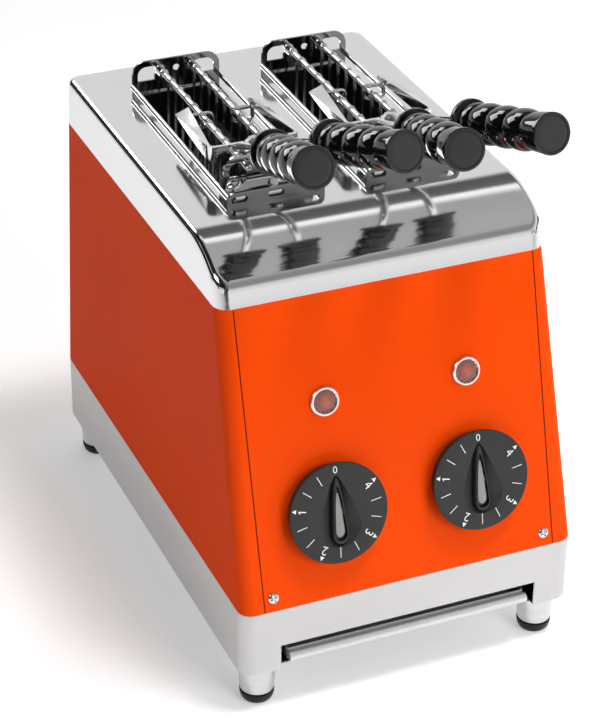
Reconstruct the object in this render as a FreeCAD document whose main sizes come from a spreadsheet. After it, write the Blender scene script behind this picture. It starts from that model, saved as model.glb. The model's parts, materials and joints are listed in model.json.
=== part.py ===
import FreeCAD, Part
import math
import os
import re
import Sketcher

# Clamp toaster: a two-slot toaster whose bread is held in lift-out sandwich tongs.
# X runs to the right, Y to the rear, Z up, in millimetres. The origin is on the table,
# under the middle of the casing.

doc = FreeCAD.newDocument("ClampToaster")
sheet = doc.addObject("Spreadsheet::Sheet", "Sizes")

# Driving sizes, in millimetres and degrees
sizes = {
    # casing
    "bodyWidth": 213,
    "bodyDepth": 318,
    "baseHeight": 43,
    "bodyHeight": 174.5,
    "capHeight": 29.5,
    "sideTaper": 4.9,
    "frontLean": 47.9,
    "rearLean": 3.9,
    "cornerRadius": 9,
    "sheetWall": 1.2,
    "baseWall": 1.5,
    "baseFlange": 14,
    "panelHem": 10,
    "seamInset": 14,
    "seamGap": 0.4,
    "fitGap": 0.3,
    # feet
    "footHeight": 20,
    "footRadius": 11.2,
    "footTaper": 0.9,
    "footInset": 15,
    "padHeight": 7.5,
    "padFlat": 7,
    # crumb tray
    "mouthWidth": 164,
    "mouthDrop": 26.3,
    "trayWidth": 154,
    "trayLength": 294,
    "trayHeight": 8,
    "traySheet": 0.8,
    "lipHeight": 5.7,
    "lipDepth": 4,
    "plateSheet": 1,
    "runnerLip": 5,
    "ventLength": 60,
    "ventWidth": 5,
    "ventPitch": 28,
    # cap
    "skirtHeight": 12,
    "flatFront": 65,
    "slotSpacing": 86,
    "slotWidth": 52,
    "slotFront": 30,
    "slotRear": 110,
    "slotCorner": 2,
    # heating chamber
    "bulkheadSheet": 1,
    "frontWall": 44,
    "rearWall": 122,
    "tubeRadius": 5,
    "tubeOffset": 24.5,
    "tubeLow": 185,
    "tubePitch": 30,
    "holderWidth": 12,
    "holderDepth": 8,
    "holderMargin": 9,
    "reflectorOffset": 31,
    "reflectorSheet": 0.8,
    "reflectorLow": 165,
    "reflectorHigh": 262,
    # controls
    "knobSpacing": 90,
    "knobHeight": 51.3,
    "knobRadius": 30.6,
    "knobTaper": 1.2,
    "knobSkirt": 9,
    "knobStandOff": 1,
    "wellDepth": 5,
    "wellHalf": 13,
    "wellTop": 22.5,
    "wingProud": 0.6,
    "wingTop": 20,
    "wingTail": 18,
    "wingHalf": 5.3,
    "wingNose": 4,
    "wingHeel": 2,
    "wellNose": 10.5,
    "inlaySheet": 0.8,
    "inlaySunk": 0.5,
    "inlayTop": 12,
    "inlayTail": 14,
    "inlayHalf": 2.9,
    "shaftRadius": 3,
    "shaftFit": 0.05,
    "shaftReach": 7,
    "timerWidth": 45,
    "timerDepth": 30,
    "lampSpacing": 88.6,
    "lampHeight": 113.8,
    "lampRadius": 8.7,
    "lensRadius": 7.3,
    "bezelHeight": 2.4,
    "lensDome": 2,
    "lampStem": 5,
    "lampBody": 18,
    "screwRadius": 3.4,
    "screwHead": 1.8,
    "screwShank": 1.6,
    "screwLength": 8,
    "screwInset": 5.6,
    "screwRise": 8,
    # cable gland
    "glandRadius": 11,
    "glandLength": 8,
    "glandBore": 4,
    "glandHeight": 44,
    "glandOffset": 60,
    # tongs
    "rodRadius": 2.25,
    "rodOffset": 10.6,
    "rodHeight": 14,
    "rodOverrun": 5,
    "wireRadius": 1,
    "wirePitch": 12.7,
    "wireCount": 11,
    "rackDrop": 115,
    "ledgeReach": 3.5,
    "ledgeSheet": 1.5,
    "railRadius": 1.6,
    "railOffset": 28.5,
    "railHeight": 5,
    "bracketSheet": 1.5,
    "tongShift": 1,
    "bracketWidth": 57.4,
    "archWidth": 49,
    "bracketHeight": 21,
    "bracketCorner": 9,
    "rearBracket": 112,
    "frontBracket": 31,
    "flangeReach": 20,
    "lipHalf": 30,
    "lipRise": 8.5,
    "windowWidth": 11,
    "windowRise": 9,
    "windowTop": 17,
    "archStrip": 3.6,
    "pivotBehind": 14,
    "pivotRadius": 2,
    "pivotFit": 0.05,
    "earRadius": 5.5,
    "shankRadius": 2.6,
    "shankSide": 9.5,
    "earSheet": 2,
    "tabSheet": 1.5,
    "saddleRadius": 8.5,
    "saddleHalf": 24,
    "saddleFoot": 1,
    "leverSheet": 2,
    "stripTop": 22.2,
    "stripBottom": 17,
    "plateBottom": 13,
    "plateOut": 28,
    "plateEnd": 41,
    "plateTip": 18,
    "heelGap": 3.5,
    "tipOut": 27.1,
    "tipIn": 17.9,
    "tipSkew": 0.7,
    "tipDrop": 0.5,
    "tipRise": 1,
    "tipSheet": 1.9,
    "hoopWire": 0.8,
    "hoopBehind": 34,
    "hoopIn": 6.2,
    "hoopOut": 20,
    "hoopLow": 9.5,
    "hoopHigh": 18.8,
    "gripOffset": 16.8,
    "gripForward": 84,
    "gripRise": 46.9,
    "unevenRise": 1.2,
    "gripSplay": 6.6,
    "gripTilt": 18.9,
    "unevenTilt": 0.85,
    "gripLength": 85,
    "collarRadius": 13,
    "collarLength": 5,
    "neckEnd": 15,
    "bulgeRadius": 11.9,
    "valleyRadius": 10.3,
    "bulgePitch": 17.5,
    "tangRadius": 3,
    "tangReach": 50,
    "endRadius": 11.8,
    "endInset": 1.6,
    "endSheet": 2,
}

# Sizes worked out from the driving ones
derived = {
    "halfWidth": "bodyWidth/2",
    "halfDepth": "bodyDepth/2",
    "baseBottom": "footHeight+padHeight",
    "baseTop": "baseBottom+baseHeight",
    "capBottom": "baseTop+bodyHeight",
    "capTop": "capBottom+capHeight",
    "sideSlope": "sideTaper/bodyHeight",
    "frontSlope": "frontLean/bodyHeight",
    "rearSlope": "rearLean/bodyHeight",
    "capHalf": "halfWidth-sideTaper",
    "capFront": "0-halfDepth+frontLean",
    "capRear": "halfDepth-rearLean",
    "footX": "halfWidth-footInset",
    "footY": "halfDepth-footInset",
    "mouthTop": "baseTop-mouthDrop",
    "plateTop": "baseBottom+baseWall+plateSheet",
    "trayBottom": "plateTop+fitGap",
    "trayHalf": "trayWidth/2",
    "slotX": "slotSpacing/2",
    "slotMiddle": "(slotRear-slotFront)/2",
    "knobX": "knobSpacing/2",
    "lampX": "lampSpacing/2",
    "screwX": "halfWidth-seamInset-seamGap-screwInset",
    "pivotY": "0-frontBracket+pivotBehind",
    "saddleY": "0-frontBracket-(flangeReach-bracketSheet)/2",
    "lipFront": "0-frontBracket-flangeReach",
    "wireX": "rodOffset-rodRadius-0.6*wireRadius",
    "wrapRadius": "rodRadius+1.8*wireRadius",
    "capCurveRun": "0-flatFront-capFront-skirtHeight*frontSlope",
    "capCurveRise": "capHeight-skirtHeight",
    "capCurve": "(capCurveRun^2+capCurveRise^2)/(2*capCurveRise)",
}

for row, (alias, value) in enumerate(sizes.items(), 1):
    sheet.set(f"A{row}", alias)
    sheet.set(f"B{row}", str(value))
    sheet.setAlias(f"B{row}", alias)
doc.recompute()

kept = []
pockets = []


def formula(text):
    def swap(found):
        word = found.group(0)
        if word in sizes:
            return "Sizes." + word
        if word in derived:
            return "(" + formula(derived[word]) + ")"
        return word

    return re.sub(r"[A-Za-z]\w*", swap, str(text))


def size(text):
    return float(sheet.evalExpression(formula(text)))


def bind(thing, **values):
    for name, text in values.items():
        thing.setExpression(name, formula(text))
    return thing


def place(thing, x, y, z, turn=None):
    spot = f"vector({formula(x)}; {formula(y)}; {formula(z)})"
    thing.setExpression("Placement", f"placement({spot}; {formula(turn or 'rotation(0; 0; 0)')})")
    return thing


def keep(thing, label):
    thing.Label = label
    kept.append(thing)
    return thing


# Ways to turn a shape that is made upright
alongX = "rotation(vector(0;1;0); 90 deg)"
alongY = "rotation(vector(1;0;0); -90 deg)"
alongPanel = "rotation(vector(1;0;0); 90 deg - atan(frontSlope))"


def body(name):
    return doc.addObject("PartDesign::Body", name)


def plane(owner, role):
    return [face for face in owner.Origin.OriginFeatures if face.Role == role][0]


def sketch(owner, role, offset, loops):
    drawn = owner.newObject("Sketcher::SketchObject", owner.Name + "_sketch")
    drawn.AttachmentSupport = [(plane(owner, role), "")]
    drawn.MapMode = "FlatFace"
    bind(drawn, **{"AttachmentOffset.Base.z": offset})
    for loop in loops:
        if loop[0] == "circle":
            addCircle(drawn, *loop[1:])
        else:
            addLoop(drawn, loop)
    return drawn


def hold(drawn, kind, *parts):
    number = drawn.addConstraint(Sketcher.Constraint(kind, *parts[:-1], size(parts[-1])))
    drawn.setExpression(f"Constraints[{number}]", formula(parts[-1]))


def addCircle(drawn, x, y, radius):
    middle = FreeCAD.Vector(size(x), size(y), 0)
    ring = drawn.addGeometry(Part.Circle(middle, FreeCAD.Vector(0, 0, 1), size(radius)), False)
    hold(drawn, "DistanceX", -1, 1, ring, 3, x)
    hold(drawn, "DistanceY", -1, 1, ring, 3, y)
    hold(drawn, "Radius", ring, radius)


def nearEnd(drawn, edge, spot):
    first = (drawn.getPoint(edge, 1) - spot).Length
    return 1 if first < (drawn.getPoint(edge, 2) - spot).Length else 2


def addLoop(drawn, points):
    # A point is (x, y), or (x, y, radius, turn) where an arc runs on to the next point:
    # turn 1 bends to the left and -1 to the right.
    count = len(points)
    spots = [FreeCAD.Vector(size(point[0]), size(point[1]), 0) for point in points]
    first = drawn.GeometryCount
    for index, point in enumerate(points):
        start = spots[index]
        stop = spots[(index + 1) % count]
        if len(point) == 2:
            drawn.addGeometry(Part.LineSegment(start, stop), False)
            continue
        radius = size(point[2])
        chord = stop - start
        left = FreeCAD.Vector(-chord.y, chord.x, 0) / chord.Length
        rise = radius - math.sqrt(max(radius * radius - chord.Length ** 2 / 4, 0))
        middle = (start + stop) * 0.5 - left * (rise * point[3])
        drawn.addGeometry(Part.Arc(start, middle, stop), False)
    for index, point in enumerate(points):
        edge = first + index
        after = first + (index + 1) % count
        spot = spots[(index + 1) % count]
        ends = (nearEnd(drawn, edge, spot), nearEnd(drawn, after, spot))
        drawn.addConstraint(Sketcher.Constraint("Coincident", edge, ends[0], after, ends[1]))
    for index, point in enumerate(points):
        edge = first + index
        end = nearEnd(drawn, edge, spots[index])
        hold(drawn, "DistanceX", -1, 1, edge, end, point[0])
        hold(drawn, "DistanceY", -1, 1, edge, end, point[1])
        if len(point) > 2:
            hold(drawn, "Radius", edge, point[2])


def pad(owner, role, low, high, *loops):
    # Fills the loops between two places on the axis that the plane faces
    start = f"0-({high})" if role == "XZ_Plane" else low
    feature = owner.newObject("PartDesign::Pad", owner.Name + "_pad")
    feature.Profile = sketch(owner, role, start, loops)
    bind(feature, Length=f"({high})-({low})")
    return feature


def pocket(owner, role, low, high, *loops):
    # Cuts the loops out between two places on the axis that the plane faces
    start = f"0-({low})" if role == "XZ_Plane" else high
    feature = owner.newObject("PartDesign::Pocket", owner.Name + "_pocket")
    feature.Profile = sketch(owner, role, start, loops)
    bind(feature, Length=f"({high})-({low})")
    pockets.append(feature)
    return feature


def loft(owner, kind, role, *sections):
    drawn = [sketch(owner, role, offset, [loop]) for offset, loop in sections]
    feature = owner.newObject("PartDesign::" + kind, owner.Name + "_loft")
    feature.Profile = drawn[0]
    feature.Sections = drawn[1:]
    feature.Ruled = True
    return feature


def revolve(owner, role, axis, loop):
    feature = owner.newObject("PartDesign::Revolution", owner.Name + "_revolve")
    feature.Profile = sketch(owner, role, "0", [loop])
    feature.ReferenceAxis = (feature.Profile[0], [axis])
    feature.Angle = 360
    return feature


def rounded(x0, x1, y0, y1, radius):
    # A rectangle with round corners, anticlockwise
    return [
        (f"{x0}+{radius}", y0), (f"{x1}-{radius}", y0, radius, 1),
        (x1, f"{y0}+{radius}"), (x1, f"{y1}-{radius}", radius, 1),
        (f"{x1}-{radius}", y1), (f"{x0}+{radius}", y1, radius, 1),
        (x0, f"{y1}-{radius}"), (x0, f"{y0}+{radius}", radius, 1),
    ]


def square(x0, x1, y0, y1):
    return [(x0, y0), (x1, y0), (x1, y1), (x0, y1)]


def box(name, x0, x1, y0, y1, z0, z1):
    made = doc.addObject("Part::Box", name)
    bind(made, Length=f"({x1})-({x0})", Width=f"({y1})-({y0})", Height=f"({z1})-({z0})")
    return place(made, x0, y0, z0)


def rod(name, radius, length, x, y, z, turn=None):
    made = doc.addObject("Part::Cylinder", name)
    bind(made, Radius=radius, Height=length)
    return place(made, x, y, z, turn)


def cone(name, low, high, length, x, y, z, turn=None):
    made = doc.addObject("Part::Cone", name)
    bind(made, Radius1=low, Radius2=high, Height=length)
    return place(made, x, y, z, turn)


def fuse(name, things):
    made = doc.addObject("Part::MultiFuse", name)
    made.Shapes = things
    return made


def cut(name, base, tool):
    made = doc.addObject("Part::Cut", name)
    made.Base = base
    made.Tool = tool
    return made


def common(name, first, second):
    made = doc.addObject("Part::Common", name)
    made.Base = first
    made.Tool = second
    return made


def group(name, things):
    made = doc.addObject("Part::Compound", name)
    made.Links = things
    return made


def casingLoop(rise, inset):
    # The casing's outline at a height above the base, set in by a wall
    half = f"(halfWidth-({rise})*sideSlope-({inset}))"
    front = f"(0-halfDepth+({rise})*frontSlope+({inset}))"
    rear = f"(halfDepth-({rise})*rearSlope-({inset}))"
    return rounded(f"0-{half}", half, front, rear, f"(cornerRadius-({inset}))")


# Base: a deep tray-like frame turned out of sheet, with a mouth for the crumb tray
def makeBase():
    frame = body("base_frame")
    outer = rounded("0-halfWidth", "halfWidth", "0-halfDepth", "halfDepth", "cornerRadius")
    pad(frame, "XY_Plane", "baseBottom", "baseTop", outer)
    wall = "baseWall"
    inner = rounded(f"0-halfWidth+{wall}", f"halfWidth-{wall}", f"0-halfDepth+{wall}",
                    f"halfDepth-{wall}", f"(cornerRadius-{wall})")
    flange = square("0-halfWidth+baseFlange", "halfWidth-baseFlange", "0-halfDepth+baseFlange",
                    "halfDepth-baseFlange")
    # The top's opening first, then the hollow under it, then the floor's opening
    pocket(frame, "XY_Plane", f"baseBottom+{wall}", f"baseTop-{wall}", inner)
    pocket(frame, "XY_Plane", f"baseTop-2*{wall}", f"baseTop+{wall}", flange)
    floor = square("0-mouthWidth/2", "mouthWidth/2", "0-halfDepth-1", "halfDepth-2*footInset")
    pocket(frame, "XY_Plane", "baseBottom-1", f"baseBottom+2*{wall}", floor)
    mouth = square("0-mouthWidth/2", "mouthWidth/2", "baseBottom-1", "mouthTop")
    pocket(frame, "XZ_Plane", "0-halfDepth-1", f"0-halfDepth+2*{wall}", mouth)
    keep(frame, "base_frame")


def makeFeet():
    posts = []
    pads = []
    for number, (sideX, sideY) in enumerate([(-1, -1), (1, -1), (-1, 1), (1, 1)]):
        spot = (f"{sideX}*footX", f"{sideY}*footY")
        low = f"post{number}"
        posts.append(cone(low, "footRadius-footTaper", "footRadius", "footHeight", *spot, "padHeight"))
        name = f"pad{number}"
        pads.append(cone(name, "padFlat", "footRadius-footTaper", "padHeight", *spot, "0"))
    keep(group("foot_posts", posts), "foot_posts")
    keep(group("foot_pads", pads), "foot_pads")


# Crumb tray, the plate it slides on and its runners
def makeTray():
    low = "baseBottom+baseWall"
    plate = body("bottom_plate")
    half = "halfWidth-baseWall-2"
    depth = "halfDepth-baseWall-2"
    edge = "cornerRadius"
    pad(plate, "XY_Plane", low, "plateTop", rounded(f"0-({half})", half, f"0-({depth})", depth, edge))
    for column in (-1, 1):
        for step in (-2, -1, 0, 1, 2):
            middle = f"({step}*ventPitch)"
            inner = f"{column}*(12+ventLength)" if column < 0 else "12"
            outer = "0-12" if column < 0 else "12+ventLength"
            pocket(plate, "XY_Plane", f"{low}-1", "plateTop+1",
                   rounded(inner, outer, f"{middle}-ventWidth/2", f"{middle}+ventWidth/2",
                           "(ventWidth/2-0.01)"))
    keep(plate, "bottom_plate")

    rails = []
    front = "0-halfDepth+20"
    rear = "halfDepth-40"
    for side in (-1, 1):
        rail = body("runner_left" if side < 0 else "runner_right")
        web = f"{side}*(trayHalf+fitGap)"
        back = f"{side}*(trayHalf+fitGap+plateSheet)"
        lip = f"{side}*(trayHalf+fitGap-runnerLip)"
        under = "trayBottom+trayHeight+fitGap"
        top = f"{under}+plateSheet"
        pad(rail, "XZ_Plane", front, rear,
            [(web, "plateTop"), (back, "plateTop"), (back, top), (lip, top), (lip, under), (web, under)])
        rails.append(rail)
    keep(group("tray_runners", rails), "tray_runners")

    tray = body("crumb_tray")
    front = "0-halfDepth+lipDepth"
    rear = "0-halfDepth+trayLength"
    high = "trayBottom+trayHeight"
    pad(tray, "XY_Plane", "trayBottom", high, rounded("0-trayHalf", "trayHalf", front, rear, "slotCorner"))
    skin = "traySheet"
    pocket(tray, "XY_Plane", f"trayBottom+{skin}", f"{high}+1",
           rounded(f"0-trayHalf+{skin}", f"trayHalf-{skin}", f"{front}+{skin}", f"{rear}-{skin}",
                   "(slotCorner-traySheet)"))
    # The rolled lip along the front, which the fingers pull
    bottom = "trayBottom+trayHeight-lipHeight-1"
    roll = "(lipHeight/2-0.01)"
    pad(tray, "YZ_Plane", "0-trayHalf", "trayHalf",
        rounded("0-halfDepth-1.5", f"{front}+{skin}", bottom, f"{bottom}+lipHeight", roll))
    keep(tray, "crumb_tray")


# Casing: one folded shell, parted at its seams into side, front and rear panels
def makeCasing():
    shell = body("casing_shell")
    wall = "sheetWall"
    loft(shell, "AdditiveLoft", "XY_Plane", ("baseTop", casingLoop("0", "0")),
         ("capBottom", casingLoop("bodyHeight", "0")))
    loft(shell, "SubtractiveLoft", "XY_Plane", (f"baseTop+{wall}", casingLoop(wall, wall)),
         ("capBottom+1", casingLoop("bodyHeight+1", wall)))
    hem = square("0-halfWidth+panelHem", "halfWidth-panelHem", "0-halfDepth+panelHem", "halfDepth-panelHem")
    pocket(shell, "XY_Plane", "baseTop-1", f"baseTop+2*{wall}", hem)

    seam = "halfWidth-seamInset"
    far = "halfWidth+1"
    high = "capBottom+2"
    low = "baseTop-1"
    deep = "halfDepth+1"
    for side, name in ((-1, "side_panel_left"), (1, "side_panel_right")):
        ends = (f"0-({far})", f"0-({seam})") if side < 0 else (seam, far)
        block = box(name + "_block", *ends, f"0-({deep})", deep, low, high)
        keep(common(name, shell, block), name)
    half = f"{seam}-seamGap"
    block = box("front_block", f"0-({half})", half, f"0-({deep})", "0", low, high)
    front = common("front_blank", shell, block)
    holes = []
    for side in (-1, 1):
        for name, reach, rise, radius in (
            ("shaft", "knobX", "knobHeight", "shaftRadius+0.5"),
            ("lamp", "lampX", "lampHeight", "lampStem+0.2"),
            ("screw", "screwX", "screwRise", "screwShank+0.2"),
        ):
            across = f"0-halfDepth+{rise}*frontSlope"
            hole = rod(f"{name}_hole", radius, "20", f"{side}*{reach}",
                       f"{across}-10*cos(atan(frontSlope))",
                       f"baseTop+{rise}+10*sin(atan(frontSlope))",
                       "rotation(vector(1;0;0); -90 deg - atan(frontSlope))")
            holes.append(hole)
    keep(cut("front_panel", front, group("front_holes", holes)), "front_panel")

    block = box("rear_block", f"0-({half})", half, "0", deep, low, high)
    blank = common("rear_blank", shell, block)
    holes = []
    for side in (-1, 1):
        for rise in ("screwRise", "bodyHeight-screwRise"):
            holes.append(rod("rear_hole", "screwShank+0.2", "20", f"{side}*screwX",
                             "halfDepth-15", f"baseTop+{rise}", alongY))
    for step in range(-3, 4):
        holes.append(box("louvre", "0-ventLength/2", "ventLength/2", "halfDepth-15", "halfDepth+5",
                         f"baseTop+bodyHeight/2+{step}*2*ventWidth-ventWidth/2",
                         f"baseTop+bodyHeight/2+{step}*2*ventWidth+ventWidth/2"))
    keep(cut("rear_panel", blank, group("rear_holes", holes)), "rear_panel")


def screwAt(name, x, y, z, turn):
    # A pan-head screw whose head's underside is at the given spot, pointing along the turned +Z
    head = cone(name + "_head", "screwRadius", "screwRadius*0.75", "screwHead", x, y, z, turn)
    shank = rod(name + "_shank", "screwShank", "screwLength", x, y, z,
                turn + " * rotation(vector(1;0;0); 180 deg)")
    return fuse(name, [head, shank])


def makeScrews():
    screws = []
    for side in (-1, 1):
        screws.append(screwAt("front_screw", f"{side}*screwX", "0-halfDepth+screwRise*frontSlope",
                              "baseTop+screwRise", alongPanel))
    keep(group("front_screws", screws), "front_screws")
    screws = []
    for side in (-1, 1):
        for rise in ("screwRise", "(bodyHeight-screwRise)"):
            screws.append(screwAt("rear_screw", f"{side}*screwX", f"halfDepth-{rise}*rearSlope",
                                  f"baseTop+{rise}", "rotation(vector(1;0;0); atan(rearSlope) - 90 deg)"))
    keep(group("rear_screws", screws), "rear_screws")


# Cap: a drawn cover whose front rolls over into a leaning skirt
def capSolid(name, inset):
    solid = body(name)
    top = "capHeight+1"
    base = "bodyHeight"
    start = "0" if inset == "0" else "0-1"
    loft(solid, "AdditiveLoft", "XY_Plane", (f"capBottom+{start}", casingLoop(f"{base}+{start}", inset)),
         (f"capBottom+{top}", casingLoop(f"{base}+{top}", inset)))
    high = f"(capTop-({inset}))"
    skirtY = f"(0-flatFront-capCurveRun+({inset}))"
    skirtZ = "(capBottom+skirtHeight)"
    out = "(capFront-20)"
    back = "(capRear+20)"
    above = "(capTop+5)"
    pocket(solid, "YZ_Plane", "0-halfWidth-1", "halfWidth+1",
           [(out, skirtZ), (skirtY, skirtZ, f"(capCurve-({inset}))", -1), ("0-flatFront", high),
            (back, high), (back, above), (out, above)])
    return solid


def makeCap():
    outer = capSolid("cap_outer", "0")
    inner = capSolid("cap_inner", "sheetWall")
    hollow = cut("cap_hollow", outer, inner)
    slots = []
    for side in (-1, 1):
        middle = f"({side}*slotX)"
        slot = body("slot_left" if side < 0 else "slot_right")
        pad(slot, "XY_Plane", "capTop-10", "capTop+10",
            rounded(f"{middle}-slotWidth/2", f"{middle}+slotWidth/2", "0-slotFront", "slotRear",
                    "slotCorner"))
        slots.append(slot)
    keep(cut("top_cap", hollow, group("cap_slots", slots)), "top_cap")


# Heating chamber: two bulkheads, the reflectors between them, and the quartz tubes in their holders
def makeChamber():
    low = "baseTop+sheetWall"
    high = "capTop-sheetWall"
    tubeSpots = []
    for slot in (-1, 1):
        for side in (-1, 1):
            for step in (0, 1, 2):
                tubeSpots.append((f"{slot}*slotX+{side}*tubeOffset", f"tubeLow+{step}*tubePitch"))
    for name, near, far in (("front_bulkhead", "0-frontWall-bulkheadSheet", "0-frontWall"),
                            ("rear_bulkhead", "rearWall", "rearWall+bulkheadSheet")):
        wall = body(name)
        foot = "(halfWidth-2*sheetWall*sideSlope-sheetWall-fitGap)"
        top = "(halfWidth-(bodyHeight+capHeight)*sideSlope-sheetWall-fitGap)"
        pad(wall, "XZ_Plane", near, far,
            [(f"0-{foot}", low), (foot, low), (top, high), (f"0-{top}", high)])
        pocket(wall, "XZ_Plane", f"{near}-1", f"{far}+1",
               *[("circle", x, z, "tubeRadius+0.3") for x, z in tubeSpots])
        keep(wall, name)

    sheets = []
    for slot in (-1, 1):
        for side in (-1, 1):
            middle = f"({slot}*slotX+{side}*(reflectorOffset+reflectorSheet/2))"
            sheets.append(box("reflector", f"{middle}-reflectorSheet/2", f"{middle}+reflectorSheet/2",
                              "0-frontWall", "rearWall", "reflectorLow", "reflectorHigh"))
    keep(group("reflectors", sheets), "reflectors")

    tubes = []
    for x, z in tubeSpots:
        tubes.append(rod("tube", "tubeRadius", "frontWall+rearWall+2*bulkheadSheet+holderDepth", x,
                         "0-frontWall-bulkheadSheet-holderDepth/2", z, alongY))
    keep(group("quartz_tubes", tubes), "quartz_tubes")

    holders = []
    for slot in (-1, 1):
        for side in (-1, 1):
            middle = f"({slot}*slotX+{side}*tubeOffset)"
            for end, near, far in (("front", "0-frontWall-bulkheadSheet-holderDepth",
                                    "0-frontWall-bulkheadSheet"),
                                   ("rear", "rearWall+bulkheadSheet",
                                    "rearWall+bulkheadSheet+holderDepth")):
                block = body("holder_" + end)
                pad(block, "XZ_Plane", near, far,
                    square(f"{middle}-holderWidth/2-1", f"{middle}+holderWidth/2+1", "tubeLow-holderMargin",
                           "tubeLow+2*tubePitch+holderMargin"))
                pocket(block, "XZ_Plane", f"{near}-1", f"{far}+1",
                       *[("circle", middle, f"tubeLow+{step}*tubePitch", "tubeRadius+shaftFit")
                         for step in (0, 1, 2)])
                holders.append(block)
    keep(group("tube_holders", holders), "tube_holders")


# Controls on the leaning panel. Local Z points out of the panel, local Y up its slope.
def onPanel(side, reach, rise, out):
    lean = "atan(frontSlope)"
    return (f"{side}*{reach}", f"0-halfDepth+{rise}*frontSlope-({out})*cos({lean})",
            f"baseTop+{rise}+({out})*sin({lean})", alongPanel)


def wingLoop(half, top, tail):
    # A wedge with a narrow nose at the top and a blunt heel
    nose = f"({half}*0.4)"
    heel = f"({half}*0.75)"
    return [("0", top), (f"0-{nose}", f"{top}-wingNose"), (f"0-{half}", f"wingHeel-({tail})"),
            (f"0-{heel}", f"0-({tail})"), (heel, f"0-({tail})"), (half, f"wingHeel-({tail})"),
            (nose, f"{top}-wingNose")]


def wellLoop():
    # The wide rim of the finger well round the wedge
    nose = "(wellHalf*0.8)"
    heel = "(wellHalf*0.5)"
    low = "(wingTail+1)"
    return [("0", "wellTop"), (f"0-{nose}", "wellTop-wellNose"), ("0-wellHalf", f"0-{low}*0.5"),
            (f"0-{heel}", f"0-{low}"), (heel, f"0-{low}"), ("wellHalf", f"0-{low}*0.5"),
            (nose, "wellTop-wellNose")]


def makeControls():
    for side, word in ((-1, "left"), (1, "right")):
        knob = body("knob_" + word)
        revolve(knob, "XZ_Plane", "V_Axis",
                [("0", "0"), ("knobRadius", "0"), ("knobRadius-knobTaper", "knobSkirt"),
                 ("0", "knobSkirt")])
        loft(knob, "SubtractiveLoft", "XY_Plane",
             ("knobSkirt-wellDepth", wingLoop("(wingHalf+fitGap)", "(wingTop+fitGap)", "wingTail+fitGap")),
             ("knobSkirt+0.01", wellLoop()))
        face = "(knobSkirt+wingProud)"
        pad(knob, "XY_Plane", "knobSkirt-wellDepth-1", face, wingLoop("wingHalf", "wingTop", "wingTail"))
        floor = f"({face}-inlaySunk-inlaySheet)"
        pocket(knob, "XY_Plane", floor, f"{face}+1", wingLoop("inlayHalf", "inlayTop", "inlayTail"))
        pocket(knob, "XY_Plane", "0-1", "shaftReach", ("circle", "0", "0", "shaftRadius+shaftFit"))
        place(knob, *onPanel(side, "knobX", "knobHeight", "knobStandOff"))
        keep(knob, "knob_" + word)

        inlay = body("knob_inlay_" + word)
        pad(inlay, "XY_Plane", floor, f"{floor}+inlaySheet",
            wingLoop("(inlayHalf-0.05)", "(inlayTop-0.1)", "(inlayTail-0.05)"))
        place(inlay, *onPanel(side, "knobX", "knobHeight", "knobStandOff"))
        keep(inlay, "knob_inlay_" + word)

        shaft = rod("timer_shaft_" + word, "shaftRadius",
                    "timerDepth/2+sheetWall+knobStandOff+shaftReach-0.5",
                    *onPanel(side, "knobX", "knobHeight", "0-sheetWall-timerDepth/2"))
        keep(shaft, "timer_shaft_" + word)

        timer = body("timer_" + word)
        half = "timerWidth/2"
        pad(timer, "XY_Plane", "0-sheetWall-timerDepth", "0-sheetWall",
            rounded(f"0-{half}", half, f"0-{half}", half, "slotCorner"))
        pocket(timer, "XY_Plane", "0-sheetWall-timerDepth/2-0.3", "0",
               ("circle", "0", "0", "shaftRadius+shaftFit"))
        place(timer, *onPanel(side, "knobX", "knobHeight", "0"))
        keep(timer, "timer_" + word)

        bezel = body("lamp_bezel_" + word)
        revolve(bezel, "XZ_Plane", "V_Axis",
                [("lensRadius", "bezelHeight*0.4"), ("lensRadius", "bezelHeight"),
                 ("lampRadius-0.5", "bezelHeight"),
                 ("lampRadius", "bezelHeight-0.5"), ("lampRadius", "0"), ("lampStem", "0"),
                 ("lampStem", "0-lampBody"), ("0", "0-lampBody"), ("0", "bezelHeight*0.4")])
        place(bezel, *onPanel(side, "lampX", "lampHeight", "0"))
        keep(bezel, "lamp_bezel_" + word)

        lens = body("lamp_lens_" + word)
        edge = "(lensRadius-0.1)"
        dome = f"(({edge}^2+lensDome^2)/(2*lensDome))"
        revolve(lens, "XZ_Plane", "V_Axis",
                [("0", "bezelHeight*0.4"), (edge, "bezelHeight*0.4"), (edge, "bezelHeight*0.6", dome, 1),
                 ("0", "bezelHeight*0.6+lensDome")])
        place(lens, *onPanel(side, "lampX", "lampHeight", "0"))
        keep(lens, "lamp_lens_" + word)


def makeGland():
    wall = body("cable_gland")
    revolve(wall, "XZ_Plane", "V_Axis",
            [("glandBore", "0"), ("glandRadius", "0"), ("glandRadius", "glandLength*0.35"),
             ("glandRadius-2", "glandLength*0.5"), ("glandRadius-3", "glandLength"),
             ("glandBore", "glandLength")])
    place(wall, "glandOffset", "halfDepth", "glandHeight+4", alongY)
    keep(wall, "cable_gland")


# One lift-out tong. Local X is across the slot from its middle, local Z up from the cap.
def tongX(slot):
    return f"({slot}*slotX+tongShift)"


def atSlot(thing, slot):
    return place(thing, tongX(slot), "0", "capTop")


def bracketLoop(width, height):
    half = f"({width}/2)"
    return [(f"0-{half}", "0"), (half, "0"), (half, f"{height}-bracketCorner", "bracketCorner", 1),
            (f"{half}-bracketCorner", height), (f"0-{half}+bracketCorner", height, "bracketCorner", 1),
            (f"0-{half}", f"{height}-bracketCorner")]


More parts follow.
